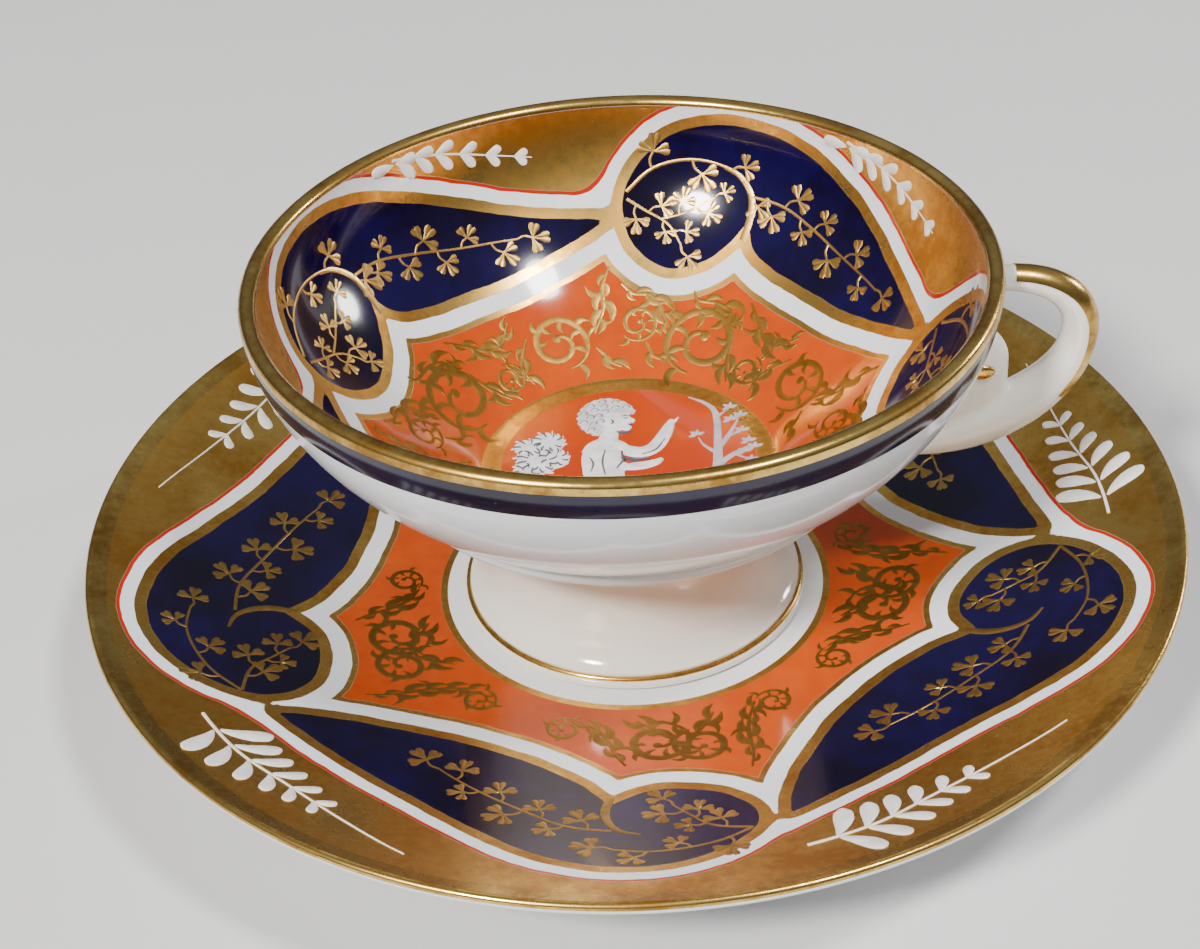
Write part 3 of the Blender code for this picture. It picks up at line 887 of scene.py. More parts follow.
@dataclass
class LeafyStem:
    """A gilt stem that runs through the field, with curled acanthus leaves to alternate sides."""

    leaf: float = 1.9
    pitch: float = 1.15
    half_width: float = 0.3

    def draw(self, strokes: Strokes, rows: Sequence[tuple[float, float]]) -> None:
        """Draws the stem through rows (azimuth in degrees, length); the leaves are longest in its middle."""
        line = through([(math.radians(azimuth), length) for azimuth, length in rows], 80)
        half = self.half_width * np.interp(np.linspace(0.0, 1.0, 80), [0.0, 0.5, 1.0], [0.5, 1.0, 0.5])
        strokes.add(np.column_stack([line, half])[::2], 40)
        radius = strokes.chart.radius(line[:, 1])
        east, north = np.gradient(line[:, 0]) * radius, np.gradient(line[:, 1])
        way = np.cumsum(np.hypot(east, north))
        count = int(way[-1] / self.pitch)
        for k in range(1, count):
            at = int(np.searchsorted(way, way[-1] * k / count))
            side = 1.0 if k % 2 else -1.0
            length = self.leaf * (0.6 + 0.5 * math.sin(math.pi * k / count) + 0.12 * math.sin(5.1 * k))
            heading = math.degrees(math.atan2(north[at], east[at]))
            board = strokes.chart.here(math.degrees(line[at, 0]), float(line[at, 1]), heading)
            leaflet(strokes, board, (0.0, 0.0), side * 1.15, side * -0.95, length, 0.2 * length)
            if k % 3 == 0:
                leaflet(strokes, board, (0.0, 0.0), side * 0.45, side * 1.5, 0.8 * length, 0.16 * length)


@dataclass
class LeafSpray:
    """White enamel leaves in pairs along a thin stem, largest at the root, where one more may lead off."""

    pairs: int
    leaf: float
    last_leaf: float
    lean: float
    first: float  # shares of the stem at which its leaves start and end
    last: float
    plump: float  # half width gained per millimetre of leaf
    root_leaf: bool

    LEAN_LOSS = 14.0  # degrees by which the last leaves lean less
    LEAF_WAY = np.array([0.08, 0.3, 0.62, 0.9, 1.0])
    LEAF_BOW = np.array([0.0, 0.05, 0.06, 0.02, 0.0])
    LEAF_HALF = np.array([0.13, 0.6, 1.0, 0.86, 0.2])

    def draw(self, strokes: Strokes, stem: Sequence[tuple[float, float]]) -> None:
        """Draws the stem and its leaves; leaf length falls evenly from root to tip.

        Args:
            strokes: where it is drawn.
            stem: rows of azimuth in degrees and length, root first.
        """
        line = through([(math.radians(azimuth), length) for azimuth, length in stem], 60)
        strokes.add(np.column_stack([line, np.linspace(0.22, 0.09, 60)])[::3], 20)
        for k in range(self.pairs):
            share = k / (self.pairs - 1)
            at = int((self.first + share * (self.last - self.first)) * (len(line) - 4)) + 1
            size = self.leaf + (self.last_leaf - self.leaf) * share
            if k == 0 and self.root_leaf:
                self._leaf(strokes, strokes.chart.board_on(line, at, 180.0), size, 1.0)
            for side in (-1.0, 1.0):
                lean = side * (self.lean - self.LEAN_LOSS * share)
                self._leaf(strokes, strokes.chart.board_on(line, at, lean), size, side)

    def _leaf(self, strokes: Strokes, board: Board, size: float, side: float) -> None:
        """One plump leaf along the board's x, bowed a little to one side."""
        half = self.LEAF_HALF * (0.30 + self.plump * size)
        strokes.add(board(np.stack([self.LEAF_WAY * size, self.LEAF_BOW * size * -side, half], 1)), 9)


class PanelledWare:
    """What saucer and bowl share: a painted face with a ring of panels, and three kinds of raised motif."""

    panels: Sequence[Panel]
    outer: Sequence[tuple[float, float]]
    inner: Sequence[tuple[float, float]]
    middle: Sequence[tuple[float, float]]
    waist: float
    designs: Sequence[GiltSpray]
    hook: Sequence[tuple[float, float, float]]  # gilt line from the notch into the lobe, with half widths
    leaf_stem: Sequence[tuple[float, float]]  # share of the span and length, root first
    leaf_spray: LeafSpray

    LIFTS = (("gilt_sprays", 0.04), ("gilt_scrolls", 0.028), ("enamel_leaves", 0.14))
    UNPAINTED = (("panel", FAR), ("ring", FAR), ("reach", FAR), ("face", 0.0))  # marks off the painted side

    def chart(self) -> Chart:
        """Chart of the painted side."""
        raise NotImplementedError

    def ring(self) -> PanelRing:
        """The ring of panels on the chart."""
        return PanelRing(self.chart(), self.panels, self.outer, self.inner, self.middle, self.waist)

    def painting_marks(self, rows: int, lengths: Array, sides: int) -> dict[str, Array]:
        """The painting's marks on a turned grid whose first rows are painted.

        Args:
            rows: number of the grid's rows.
            lengths: distance along the chart of each painted row.
            sides: divisions round the axis.

        Returns:
            Named arrays of shape (rows, sides).
        """
        painted = len(lengths)
        azimuth, length = np.meshgrid(circle(sides), lengths)
        marks = {name: np.full((rows, sides), value) for name, value in self.UNPAINTED}
        for name, values in self.ring().marks(azimuth, length).items():
            marks[name][:painted] = values
        marks["face"][:painted] = 1.0
        return marks

    def decorate(self) -> dict[str, Surface]:
        """Gilt sprays in the cobalt, gilt scrolls on the orange and enamel leaves on the gold."""
        ring = self.ring()
        motifs = {name: Strokes(ring.chart, lift) for name, lift in self.LIFTS}
        sprays, scrolls, leaves = motifs.values()
        for panel in self.panels:
            for design in self.designs:
                design.draw(sprays, ring, panel)
            sprays.add(ring.to_chart(panel, self.hook), 18)
            self.scrollwork(scrolls, panel)
            stem = [(panel.tip + share * panel.span, length) for share, length in self.leaf_stem]
            self.leaf_spray.draw(leaves, stem)
        return {name: strokes.surface() for name, strokes in motifs.items()}

    def scrollwork(self, strokes: Strokes, panel: Panel) -> None:
        """Draws the gilt scrolls and leafy stems that belong to one panel."""
        raise NotImplementedError


# Saucer --------------------------------------------------------------------------------------------------


@dataclass
class Saucer(PanelledWare):
    """The saucer: painted dish, foot ring, gilt lip, gilt sprays and scrolls, enamel leaves."""

    radius: float
    well_radius: float = 25.4
    well_top: float = 5.2
    rise: float = 13.8
    curve: float = 1.6
    floor: float = 3.4
    edge: float = 2.0
    lip_width: float = 2.6
    lip_depth: float = 0.8
    lip_round: float = 0.55
    ring_radius: float = 39.0
    ring_width: float = 3.5
    ring_splay: float = 0.4
    ring_round: float = 0.7
    ring_sunk: float = 0.3  # how far the ring reaches into the dish
    heel_round: float = 1.0  # under the edge
    heel_run: float = 1.6  # from the edge to where the underside's curve begins
    sides: int = 540
    row: float = 0.55

    plain_rows = (0.0, 8.0, 16.0, 22.0)  # radii of the mesh rows inside the painted zone
    painted_from = 24.0
    panels = (
        Panel(137.0, 77.5, 1.04),
        Panel(214.5, 73.0, 0.84),
        Panel(287.5, 70.5, 1.05),
        Panel(358.0, 69.0),
        Panel(67.0, 70.0),
    )
    outer = (
        *((0.0, 53.3), (0.11, 52.1), (0.245, 51.9), (0.37, 53.0), (0.49, 56.2), (0.6, 60.2), (0.70, 62.3)),
        *((0.79, 62.0), (0.88, 58.8), (0.943, 54.0), (0.95, 49.5), (0.912, 45.5), (0.835, 43.2)),
        *((0.755, 43.4), (0.69, 46.3)),
    )
    inner = (
        *((0.62, 42.0), (0.51, 39.2), (0.41, 38.5), (0.295, 39.0), (0.18, 41.6), (0.085, 45.5)),
        (0.028, 49.7),
    )
    middle = ((0.0, 53.0), (0.15, 48.5), (0.4, 46.5), (0.62, 50.0), (0.85, 52.0), (1.0, 53.0))
    waist = 52.0
    notch_share = 0.72  # of the span, where the white border dips inwards
    designs = (
        GiltSpray(((0.93, 55.0), (0.87, 52.5), (0.84, 49.5), (0.81, 46.6)), 5, 2.1),
        GiltSpray(((0.93, 55.0), (0.86, 57.3), (0.77, 58.3), (0.70, 57.4)), 4, 2.1, side=-1.0),
        GiltSpray(((0.70, 52.3), (0.62, 51.6), (0.53, 49.2), (0.43, 47.2), (0.31, 45.2)), 8, 2.2, first=0.14),
    )
    hook = ((0.69, 44.6, 0.55), (0.683, 47.5, 0.6), (0.692, 50.2, 0.5), (0.715, 52.3, 0.35), (0.75, 53.4, 0.2))
    leaf_stem = ((-0.02, 61.5), (0.09, 61.6), (0.20, 61.1), (0.32, 62.2), (0.45, 64.8))
    leaf_spray = LeafSpray(6, 6.3, 2.6, 60.0, first=0.1, last=0.64, plump=0.15, root_leaf=False)

    def way(self, radius: Array | float) -> Array:
        """Share of the way from the flat well to the edge."""
        return np.clip((radius - self.well_radius) / (self.radius - self.well_radius), 0.0, 1.0)

    def top(self, radius: Array | float) -> Array:
        """Height of the painted side: flat well, then rise times a power of the way out."""
        return self.well_top + self.rise * self.way(radius) ** self.curve

    def under(self, radius: Array | float) -> Array:
        """Height of the underside, thinning outwards."""
        return self.top(radius) - self.floor - (self.edge - self.floor) * self.way(radius)

    def chart(self) -> Chart:
        """Chart of the painted side, by radius: distance differs from it by little on so flat a dish."""
        radii = np.linspace(0.0, self.radius, 500)
        chart = Chart(np.stack([radii, self.top(radii)], 1))
        chart.lengths = radii
        return chart

    def build(self) -> dict[str, bpy.types.Object]:
        """Dish, standing ring and gilt edge as objects."""
        seat = self.radius - self.lip_width
        painted = np.concatenate([self.plain_rows, np.arange(self.painted_from, seat, self.row), [seat]])
        face = np.stack([painted, self.top(painted)], 1)
        profile = np.concatenate([face, self._edge(seat), [[0.0, self.well_top - self.floor]]])
        marks = self.painting_marks(len(profile) - 2, painted[1:], self.sides)
        return {
            "dish": make_object("saucer_painted_dish", turned(profile, self.sides, marks)),
            "ring": make_object("saucer_standing_ring", self._foot_ring()),
            "lip": make_object("saucer_gilt_edge", self._lip(seat)),
        }

    def _edge(self, seat: float) -> Array:
        """The dish's profile under the gilt lip, round the heel of its edge and back along the underside."""
        rebate = [
            [seat + 0.01, self.top(seat) - self.lip_depth],
            [self.radius - self.lip_round, self.top(self.radius) - self.lip_depth - 0.05],
        ]
        crown = self.top(self.radius) - self.edge
        heel = arc((self.radius - self.heel_round, crown + self.heel_round), self.heel_round, 0.0, -80.0, 7)
        back = np.linspace(self.radius - self.heel_run, self.well_radius, 26)
        return np.concatenate([rebate, heel, np.stack([back, self.under(back)], 1)])

    def _foot_ring(self) -> Surface:
        """The foot ring: splayed sides and rounded standing edges."""
        outer, inner, bend = self.ring_radius, self.ring_radius - self.ring_width, self.ring_round
        top_out, top_in = outer + self.ring_splay, inner - self.ring_splay
        heel = arc((outer - bend, bend), bend, 0.0, -90.0, 6)
        toe = arc((inner + bend, bend), bend, -90.0, -180.0, 6)
        ends = [[[radius, float(self.under(radius)) + self.ring_sunk]] for radius in (top_out, top_in)]
        return turned(np.concatenate([ends[0], heel, toe, ends[1]]), 256)

    def _lip(self, seat: float) -> Surface:
        """The gilt lip: it runs on from the painted face and rolls over the edge."""
        crown = self.radius - self.lip_round
        flat = np.linspace(seat, crown, 6)
        upper = np.stack([flat, self.top(flat)], 1)
        roll = arc((crown, upper[-1, 1] - self.lip_round), self.lip_round, 80.0, 0.0, 7)
        low = self.top(self.radius) - self.lip_depth - 0.12
        under = [[self.radius, low], [self.radius - 0.4, low], [seat, self.top(seat) - self.lip_depth]]
        return turned(np.concatenate([upper, roll, under]), 360)

    def scrollwork(self, strokes: Strokes, panel: Panel) -> None:
        """Pairs of C-scrolls under the notch and the junction, joined by leafy stems."""
        chart = strokes.chart
        notch, joint = panel.tip + self.notch_share * panel.span, panel.tip
        for azimuth, length, size, turn, hand in (
            (notch + 6.2, 32.6, 3.9, 30.0, 1.0),
            (notch - 15.0, 30.7, 2.2, -20.0, -1.0),
            (joint - 5.6, 34.2, 3.4, 30.0, -1.0),
            (joint + 14.6, 30.6, 2.2, -20.0, 1.0),
        ):
            Scroll(size, 1.5, 0.12 * size + 0.04, 5, 3).draw(strokes, chart.here(azimuth, length, turn, hand))
        for centre, offsets, lengths in (
            (notch, (-0.4, -2.6, -4.4, -7.6, -12.0), (37.4, 35.0, 32.4, 30.0, 28.8)),
            (notch, (11.0, 14.0, 18.0, 21.0), (30.6, 31.8, 30.2, 28.4)),
            (joint, (0.3, 2.6, 4.2, 7.0, 11.4), (41.4, 38.0, 34.6, 31.6, 29.0)),
            (joint, (-9.6, -12.0, -15.6, -19.0), (32.2, 31.8, 29.6, 28.2)),
        ):
            stem = [(centre + away, out) for away, out in zip(offsets, lengths)]
            LeafyStem(2.9, 1.25, 0.34).draw(strokes, stem)


# Cup -----------------------------------------------------------------------------------------------------


@dataclass
class Cup(PanelledWare):
    """The cup's bowl, foot, gilt lip, cobalt band and gilt line, and the bowl's painted inside."""

    radius: float
    base: float
    top: float
    wall: float = 2.1
    wall_drop: float = 8.5
    shoulder: tuple[float, float] = (31.5, 25.3)
    shoulder_reach: float = 8.5
    shoulder_slope: float = 0.84
    bead: tuple[float, float, float] = (29.6, 23.9, 1.1)  # ring radius, height, section radius
    floor_height: float = 18.3
    floor_wall: float = 2.9
    floor_radius: float = 18.7
    floor_rise: float = 0.8
    floor_ease: float = 0.25
    lip_height: float = 1.6
    lip_inside: float = 0.9
    band_height: float = 3.3
    foot_radius: float = 22.6
    stand_width: float = 2.8
    edge_height: float = 1.1
    collar_radius: float = 19.6
    foot_wall: float = 3.2
    foot_waist: float = 3.4  # how far the foot draws in above its step
    line: float = 0.7
    sides: int = 480
    row: float = 0.5
    lip_round: float = 0.95
    lip_inner_round: float = 1.05
    lip_clear: float = 2.3  # strip under the lip that raised motifs stay off
    band_thick: float = 0.45
    band_proud: float = 0.02

    panels = (Panel(7.0, 85.5), Panel(92.5, 91.5), Panel(184.0, 88.0), Panel(272.0, 95.0))
    outer = (
        *((0.0, 42.2), (0.11, 43.2), (0.22, 45.0), (0.33, 48.0), (0.43, 51.0), (0.54, 54.0), (0.655, 55.6)),
        *((0.77, 55.4), (0.87, 52.8), (0.94, 47.5), (0.955, 42.5), (0.92, 37.9), (0.83, 35.3)),
        *((0.73, 36.8), (0.668, 40.2), (0.64, 43.0)),
    )
    inner = ((0.6, 39.4), (0.51, 37.4), (0.38, 36.7), (0.26, 36.8), (0.13, 38.7), (0.05, 40.6))
    middle = ((0.0, 42.2), (0.2, 41.5), (0.5, 42.5), (0.8, 43.5), (1.0, 42.2))
    waist = 44.0
    designs = (
        GiltSpray(
            ((0.945, 46.0), (0.88, 49.3), (0.79, 50.6), (0.70, 49.6), (0.645, 46.6)),
            4,
            2.3,
            first=0.25,
            side=-1.0,
            half_width=0.3,
        ),
        GiltSpray(((0.645, 46.6), (0.56, 46.2), (0.46, 44.4), (0.35, 42.6), (0.20, 41.4)), 8, 2.1, first=0.14),
        GiltSpray(((0.945, 45.0), (0.90, 43.4), (0.84, 41.5), (0.80, 38.6)), 5, 1.9, first=0.2),
        GiltSpray(((0.86, 42.2), (0.80, 43.3), (0.73, 45.8)), 3, 1.8, first=0.4, side=-1.0),
    )
    hook = ((0.64, 40.5, 0.55), (0.636, 43.5, 0.55), (0.645, 46.6, 0.5), (0.68, 49.0, 0.4), (0.72, 50.0, 0.3))
    leaf_stem = ((0.44, 57.2), (0.375, 56.3), (0.30, 55.0), (0.22, 53.4), (0.13, 51.9))
    leaf_spray = LeafSpray(6, 4.1, 2.1, 42.0, first=0.0, last=0.9, plump=0.145, root_leaf=True)

    def outside(self) -> Array:
        """The outer wall from the rim down to the shoulder: one cubic, upright at the rim."""
        shoulder = np.array([self.shoulder[0], self.base + self.shoulder[1]])
        lead = shoulder + self.shoulder_reach * np.array([1.0, self.shoulder_slope])
        return bezier([(self.radius, self.top), (self.radius, self.top - self.wall_drop), lead, shoulder], 90)

    def inside(self) -> Array:
        """The painted side from the floor's middle to the rim: dished floor, eased turn, then the wall."""
        wall = offset(self.outside(), -self.wall)
        last = wall[-1]
        level = self.base + self.floor_height
        edge = np.array([self.floor_radius, level + self.floor_rise])
        lean = self.floor_ease * self.shoulder_reach
        leads = last - lean * np.array([1.0, self.shoulder_slope]), edge + np.array([lean, self.floor_rise])
        turn = bezier([last, *leads, edge], 40)
        radii = np.linspace(self.floor_radius, 0.0, 60)
        floor = np.stack([radii, level + self.floor_rise * (radii / self.floor_radius) ** 2], 1)
        return np.concatenate([wall, turn[1:], floor[1:]])[::-1]

    def chart(self) -> Chart:
        """Chart of the painted inside."""
        return Chart(self.inside(), self.lip_clear)

    def wall_radius(self, height: Array | float) -> Array:
        """Radius of the outer wall at a height."""
        wall = self.outside()
        return np.interp(-np.asarray(height), -wall[:, 1], wall[:, 0])

    def build(self) -> dict[str, bpy.types.Object]:
        """Bowl, lip, band, foot and foot line as objects."""
        inside = evenly(self.inside(), self.row)
        inside = inside[inside[:, 1] < self.top - self.lip_inside]
        inside = np.concatenate([[[0.0, inside[0, 1]]], inside[1:]])
        profile = np.concatenate([inside, self._back(inside[-1, 0])])
        lengths = np.cumsum(np.linalg.norm(np.diff(inside, axis=0), axis=1))
        marks = self.painting_marks(len(profile) - 2, lengths, self.sides)
        return {
            "bowl": make_object("cup_painted_bowl", turned(profile, self.sides, marks)),
            "lip": make_object("cup_gilt_rim", self._lip()),
            "band": make_object("cup_cobalt_rim_band", self._band()),
            "foot": make_object("cup_turned_foot", self._foot()),
            "line": make_object("cup_foot_gold_line", self._foot_line()),
        }

    def _back(self, lip_radius: float) -> Array:
        """The bowl's profile from the lip's seat down the outer wall, over the bead and in under the floor."""
        band_top, seat = self.top - self.lip_height, self.top - self.lip_height - self.band_height
        upper, lower = self.wall_radius(band_top), self.wall_radius(seat)
        tuck = [
            [lip_radius + 0.01, self.top - self.lip_inside],
            [upper - 0.3, band_top],
            [lower - 0.4, seat],
            [lower, seat],
        ]
        wall = self.outside()
        below = evenly(wall[wall[:, 1] < seat - 0.05], 0.9)
        radius, height, bulge = self.bead
        bead = arc((radius, self.base + height), bulge, 55.0, -125.0, 18)
        under = self.base + self.floor_height - self.floor_wall
        return np.concatenate([tuck, below, bead, [[self.collar_radius, under], [0.0, under]]])

    def _lip(self) -> Surface:
        """The gilt lip, rounded over the rim, with a short leg down each side."""
        low_out, low_in = self.top - self.lip_height, self.top - self.lip_inside
        bend, inner_bend = self.lip_round, self.lip_inner_round
        crown = self.top - bend
        outer = float(self.wall_radius(low_out))
        painted = self.inside()[60:]
        inner = float(np.interp(low_in, painted[:, 1], painted[:, 0]))
        over = arc((self.radius - bend, crown), bend, 90.0, 0.0, 10)
        back = arc((inner + inner_bend, crown), inner_bend, 178.0, 90.0, 10)
        back[:, 1] = crown + (back[:, 1] - crown) * bend / inner_bend
        legs = [[outer, low_out], [outer - 0.6, low_out], [inner + 0.3, low_in], [inner, low_in]]
        return turned(np.concatenate([over, legs, back]), 360)

    def _band(self) -> Surface:
        """The cobalt band, flush with the wall."""
        high = self.top - self.lip_height
        heights = np.linspace(high, high - self.band_height, 8)
        face = np.stack([self.wall_radius(heights) + self.band_proud, heights], 1)
        return turned(np.concatenate([face, face[::-1] - np.array([self.band_thick, 0.0])]), 360)

    def _foot(self) -> Surface:
        """The foot: concave side from the collar down to a step with a rounded standing edge, hollow below."""
        edge = self.base + self.edge_height
        start = np.array([self.foot_radius - self.line - 0.15, edge + self.line])
        end = np.array([self.collar_radius, self.base + self.floor_height - self.floor_wall + 0.1])
        rise, waist = end[1] - start[1], self.foot_radius - self.foot_waist
        leads = (waist - 0.7, start[1] + 0.12 * rise), (waist - 1.8, start[1] + 0.65 * rise)
        side = bezier([start, *leads, end], 40)
        stand = self.foot_radius - self.stand_width
        shelf = arc((self.foot_radius - 0.35, edge - 0.3), 0.35, 80.0, 0.0, 6)
        heel = arc((self.foot_radius - 0.4, self.base + 0.4), 0.4, 0.0, -90.0, 6)
        toe = arc((stand + 0.5, self.base + 0.5), 0.5, -90.0, -180.0, 6)
        hollow = offset(side[3:-1], self.foot_wall)
        hollow[:, 0] = np.minimum(hollow[:, 0], stand)
        hollow = hollow[hollow[:, 1] > self.base + 1.2]
        step, roof = [[start[0], edge + 0.1]], [[self.collar_radius - self.foot_wall, end[1]]]
        return turned(np.concatenate([side[::-1], step, shelf, heel, toe, hollow, roof]), 300)

    def _foot_line(self) -> Surface:
        """The gold line round the foot's step."""
        centre = (self.foot_radius - 0.62, self.base + self.edge_height + 0.12)
        return turned(arc(centre, 0.38, 180.0, -165.0, 14), 300)

    def scrollwork(self, strokes: Strokes, panel: Panel) -> None:
        """Large acanthus scrolls of alternate hand round the orange field, with leafy stems between."""
        chart = strokes.chart
        for share, length, size, turn, hand in (
            (0.665, 25.4, 5.0, 25.0, 1.0),
            (0.20, 25.6, 4.0, 25.0, -1.0),
            (0.915, 27.2, 2.6, -30.0, -1.0),
            (0.435, 23.4, 2.2, 200.0, 1.0),
        ):
            board = chart.here(panel.tip + share * panel.span, length, turn, hand)
            Scroll(size, 1.5, 0.1 * size + 0.06, 5, 3).draw(strokes, board)
        for shares, lengths in (
            ((0.74, 0.72, 0.66, 0.61, 0.56), (32.4, 31.2, 31.2, 30.6, 28.4)),
            ((0.55, 0.50, 0.44, 0.38, 0.33), (32.4, 30.4, 28.2, 28.4, 30.8)),
            ((0.56, 0.545, 0.52, 0.49), (27.0, 24.6, 22.4, 20.8)),
            ((0.0, 0.025, 0.03, 0.07), (35.6, 32.6, 29.4, 26.0)),
            ((0.07, 0.04, 0.02, -0.02), (24.0, 22.6, 21.6, 20.8)),
            ((0.30, 0.34, 0.37, 0.36), (27.6, 25.6, 23.6, 21.0)),
            ((0.965, 0.93, 0.88, 0.84, 0.80), (33.0, 31.6, 31.4, 29.6, 26.4)),
            ((0.88, 0.85, 0.81, 0.79), (24.4, 22.6, 22.0, 21.0)),
        ):
            stem = [(panel.tip + share * panel.span, out) for share, out in zip(shares, lengths)]
            LeafyStem(2.8, 1.3, 0.36).draw(strokes, stem)


@dataclass
class Medallion:
    """The picture on the floor of the bowl: a seated child in white enamel between a bush and a bare tree.

    Rows are (x, y, half width) about the floor's middle, x towards the handle and y up the picture.
    """

    chart: Chart
    lift: float = 0.22
    hair: tuple[float, float] = (-2.6, 10.3)
    bush: tuple[float, float] = (-11.2, 1.4)

    figure = (
        ((-2.2, 8.2, 1.3), (-2.4, 6.4, 1.35), (-2.7, 4.8, 1.7)),  # neck
        ((-5.7, 2.9, 0.5), (-4.6, 4.3, 1.0), (-3.0, 5.0, 1.2), (-1.3, 4.5, 1.0), (0.1, 3.2, 0.6)),  # shoulders
        ((-2.9, 4.8, 2.1), (-3.1, 3.2, 3.0), (-3.1, 0.6, 3.2), (-2.9, -2.4, 3.1), (-2.3, -5.4, 2.8)),  # trunk
        (  # raised arm
            *((-0.6, 3.3, 1.2), (1.8, 2.6, 1.25), (3.5, 3.7, 1.2)),
            *((4.7, 6.0, 1.05), (5.5, 8.0, 0.8), (5.9, 9.2, 0.35)),
        ),
        ((5.5, 8.2, 0.3), (6.3, 8.9, 0.24), (6.8, 9.7, 0.1)),  # fingers
        ((-3.4, 2.2, 1.1), (-1.4, 0.2, 1.0), (1.4, -0.3, 0.9), (3.4, 0.2, 0.65), (4.3, 0.9, 0.3)),  # lower arm
        ((-2.6, -4.8, 2.1), (1.2, -5.6, 1.9), (4.4, -5.6, 1.5), (5.8, -6.2, 1.1)),  # near thigh
        ((5.6, -6.0, 1.2), (5.9, -8.8, 1.1), (5.4, -11.2, 0.75), (7.0, -12.0, 0.5)),  # near shin
        # far leg
        ((-2.0, -6.0, 1.7), (1.2, -7.8, 1.5), (2.8, -9.6, 1.1), (2.3, -12.4, 0.7), (3.8, -13.2, 0.45)),
        (  # head
            *((-4.2, 10.2, 1.0), (-3.2, 10.1, 2.3), (-2.0, 9.9, 2.6)),
            *((-0.7, 9.7, 2.3), (0.2, 9.6, 1.4), (0.6, 9.6, 0.7)),
        ),
        ((0.3, 9.8, 0.6), (0.85, 9.45, 0.42), (1.0, 9.35, 0.22)),  # nose
        ((-0.3, 8.3, 0.75), (0.3, 7.9, 0.55), (0.45, 7.8, 0.3)),  # chin
    )
    tree = (
        (
            *((10.8, -8.5, 1.1), (11.2, -3.0, 0.8), (11.6, 3.0, 0.6)),
            *((11.8, 9.6, 0.5), (10.6, 12.2, 0.3), (8.4, 13.9, 0.1)),
        ),
        ((11.7, 2.4, 0.45), (13.2, 5.0, 0.38), (14.6, 8.2, 0.12)),
        ((11.2, -1.6, 0.5), (13.4, 0.6, 0.42), (15.9, 2.2, 0.12)),
        ((12.9, 4.6, 0.28), (14.6, 5.4, 0.1)),
        ((13.6, 0.8, 0.3), (15.0, -0.6, 0.1)),
        ((11.8, 9.0, 0.25), (13.2, 10.4, 0.1)),
        ((11.0, -4.6, 0.45), (13.4, -3.4, 0.35), (14.8, -2.2, 0.1)),
        ((11.5, 1.0, 0.3), (9.8, 3.2, 0.22), (9.2, 5.0, 0.08)),
    )
    foliage = (
        *((14.9, 8.9), (13.6, 8.2), (15.6, 3.2), (16.3, 1.8), (15.0, 1.0), (14.9, 5.6), (15.6, -1.0)),
        *((13.7, 10.9), (9.0, 5.6)),
    )
    leaf_turns = (20.0, 80.0, 140.0, 200.0)  # degrees
    tussocks = ((-6.0, -12.4), (-1.0, -13.4), (4.0, -14.0), (9.0, -11.6), (-10.0, -9.6))
    # count, distance from the head's middle, size, and first and last angle of each row of curls
    curls = ((15, 3.2, 0.7, 20.0, 244.0), (11, 2.2, 0.7, 40.0, 234.0), (6, 1.2, 0.65, 70.0, 220.0))
    # x, y and size of each clump of the bush
    clumps = ((-1.7, 2.6, 1.7), (0.9, 3.9, 1.9), (-0.5, -0.4, 2.5), (1.6, 0.4, 1.8), (-1.9, -2.6, 1.6))
    heights = {"child": 1.0, "hair": 1.6, "bush": 0.6, "tree": 0.6, "shading_lines": 4.2}  # in lifts
    shadows = (
        ((-0.7, 10.4, 0.07), (-0.25, 10.6, 0.12), (0.2, 10.45, 0.06)),  # brow
        ((-0.4, 9.95, 0.06), (-0.1, 10.0, 0.12), (0.2, 9.9, 0.05)),  # eye
        ((0.05, 8.65, 0.05), (0.35, 8.6, 0.1), (0.6, 8.7, 0.05)),  # mouth
        ((-2.1, 9.8, 0.08), (-1.8, 9.3, 0.15), (-2.1, 8.8, 0.08)),  # ear
        ((-1.4, 7.1, 0.08), (-0.5, 6.9, 0.18), (0.4, 7.2, 0.06)),  # under the chin
        ((-0.9, 2.4, 0.1), (-0.7, 0.9, 0.2), (-1.6, -0.9, 0.1)),  # side of the trunk
        ((-3.0, 3.2, 0.08), (-3.4, 0.6, 0.17), (-3.1, -2.2, 0.08)),  # spine
        ((-5.0, 1.6, 0.06), (-4.6, 0.2, 0.16), (-4.9, -1.4, 0.06)),  # flank
        ((-4.6, -3.0, 0.08), (-2.4, -3.7, 0.18), (0.4, -3.6, 0.08)),  # lap
        ((-1.0, 1.4, 0.08), (0.6, 0.9, 0.16), (2.6, 1.0, 0.06)),  # over the lower arm
        ((1.8, 1.9, 0.06), (3.6, 2.8, 0.13), (4.8, 5.0, 0.06)),  # under the raised arm
    )

    def paint(self) -> dict[str, Surface]:
        """The figure, its hair, its surroundings and the grey shading lines."""
        pieces = {name: Strokes(self.chart, share * self.lift) for name, share in self.heights.items()}
        figure, hair, bush, wood, grey = pieces.values()
        drawings = ((figure, self.figure, 16), (wood, self.tree, 14), (grey, self.shadows, 9))
        for strokes, drawing, stations in drawings:
            for rows in drawing:
                strokes.add(self._laid(rows), stations)
        self._curls(hair, grey)
        self._bush(bush, grey)
        for k, (x, y) in enumerate(self.tussocks):
            bush.add(self._laid([(x - 3.2, y, 0.15), (x, y + 0.4 + 0.1 * k, 0.6), (x + 3.2, y, 0.15)]), 12)
        for x, y in self.foliage:
            for turn in self.leaf_turns:
                across, up = math.cos(math.radians(turn)), math.sin(math.radians(turn))
                swell = ((0.0, 0.1), (0.5, 0.32), (1.1, 0.08))
                wood.add(self._laid([(x + way * across, y + way * up, half) for way, half in swell]), 7)
        return {name: strokes.surface() for name, strokes in pieces.items()}

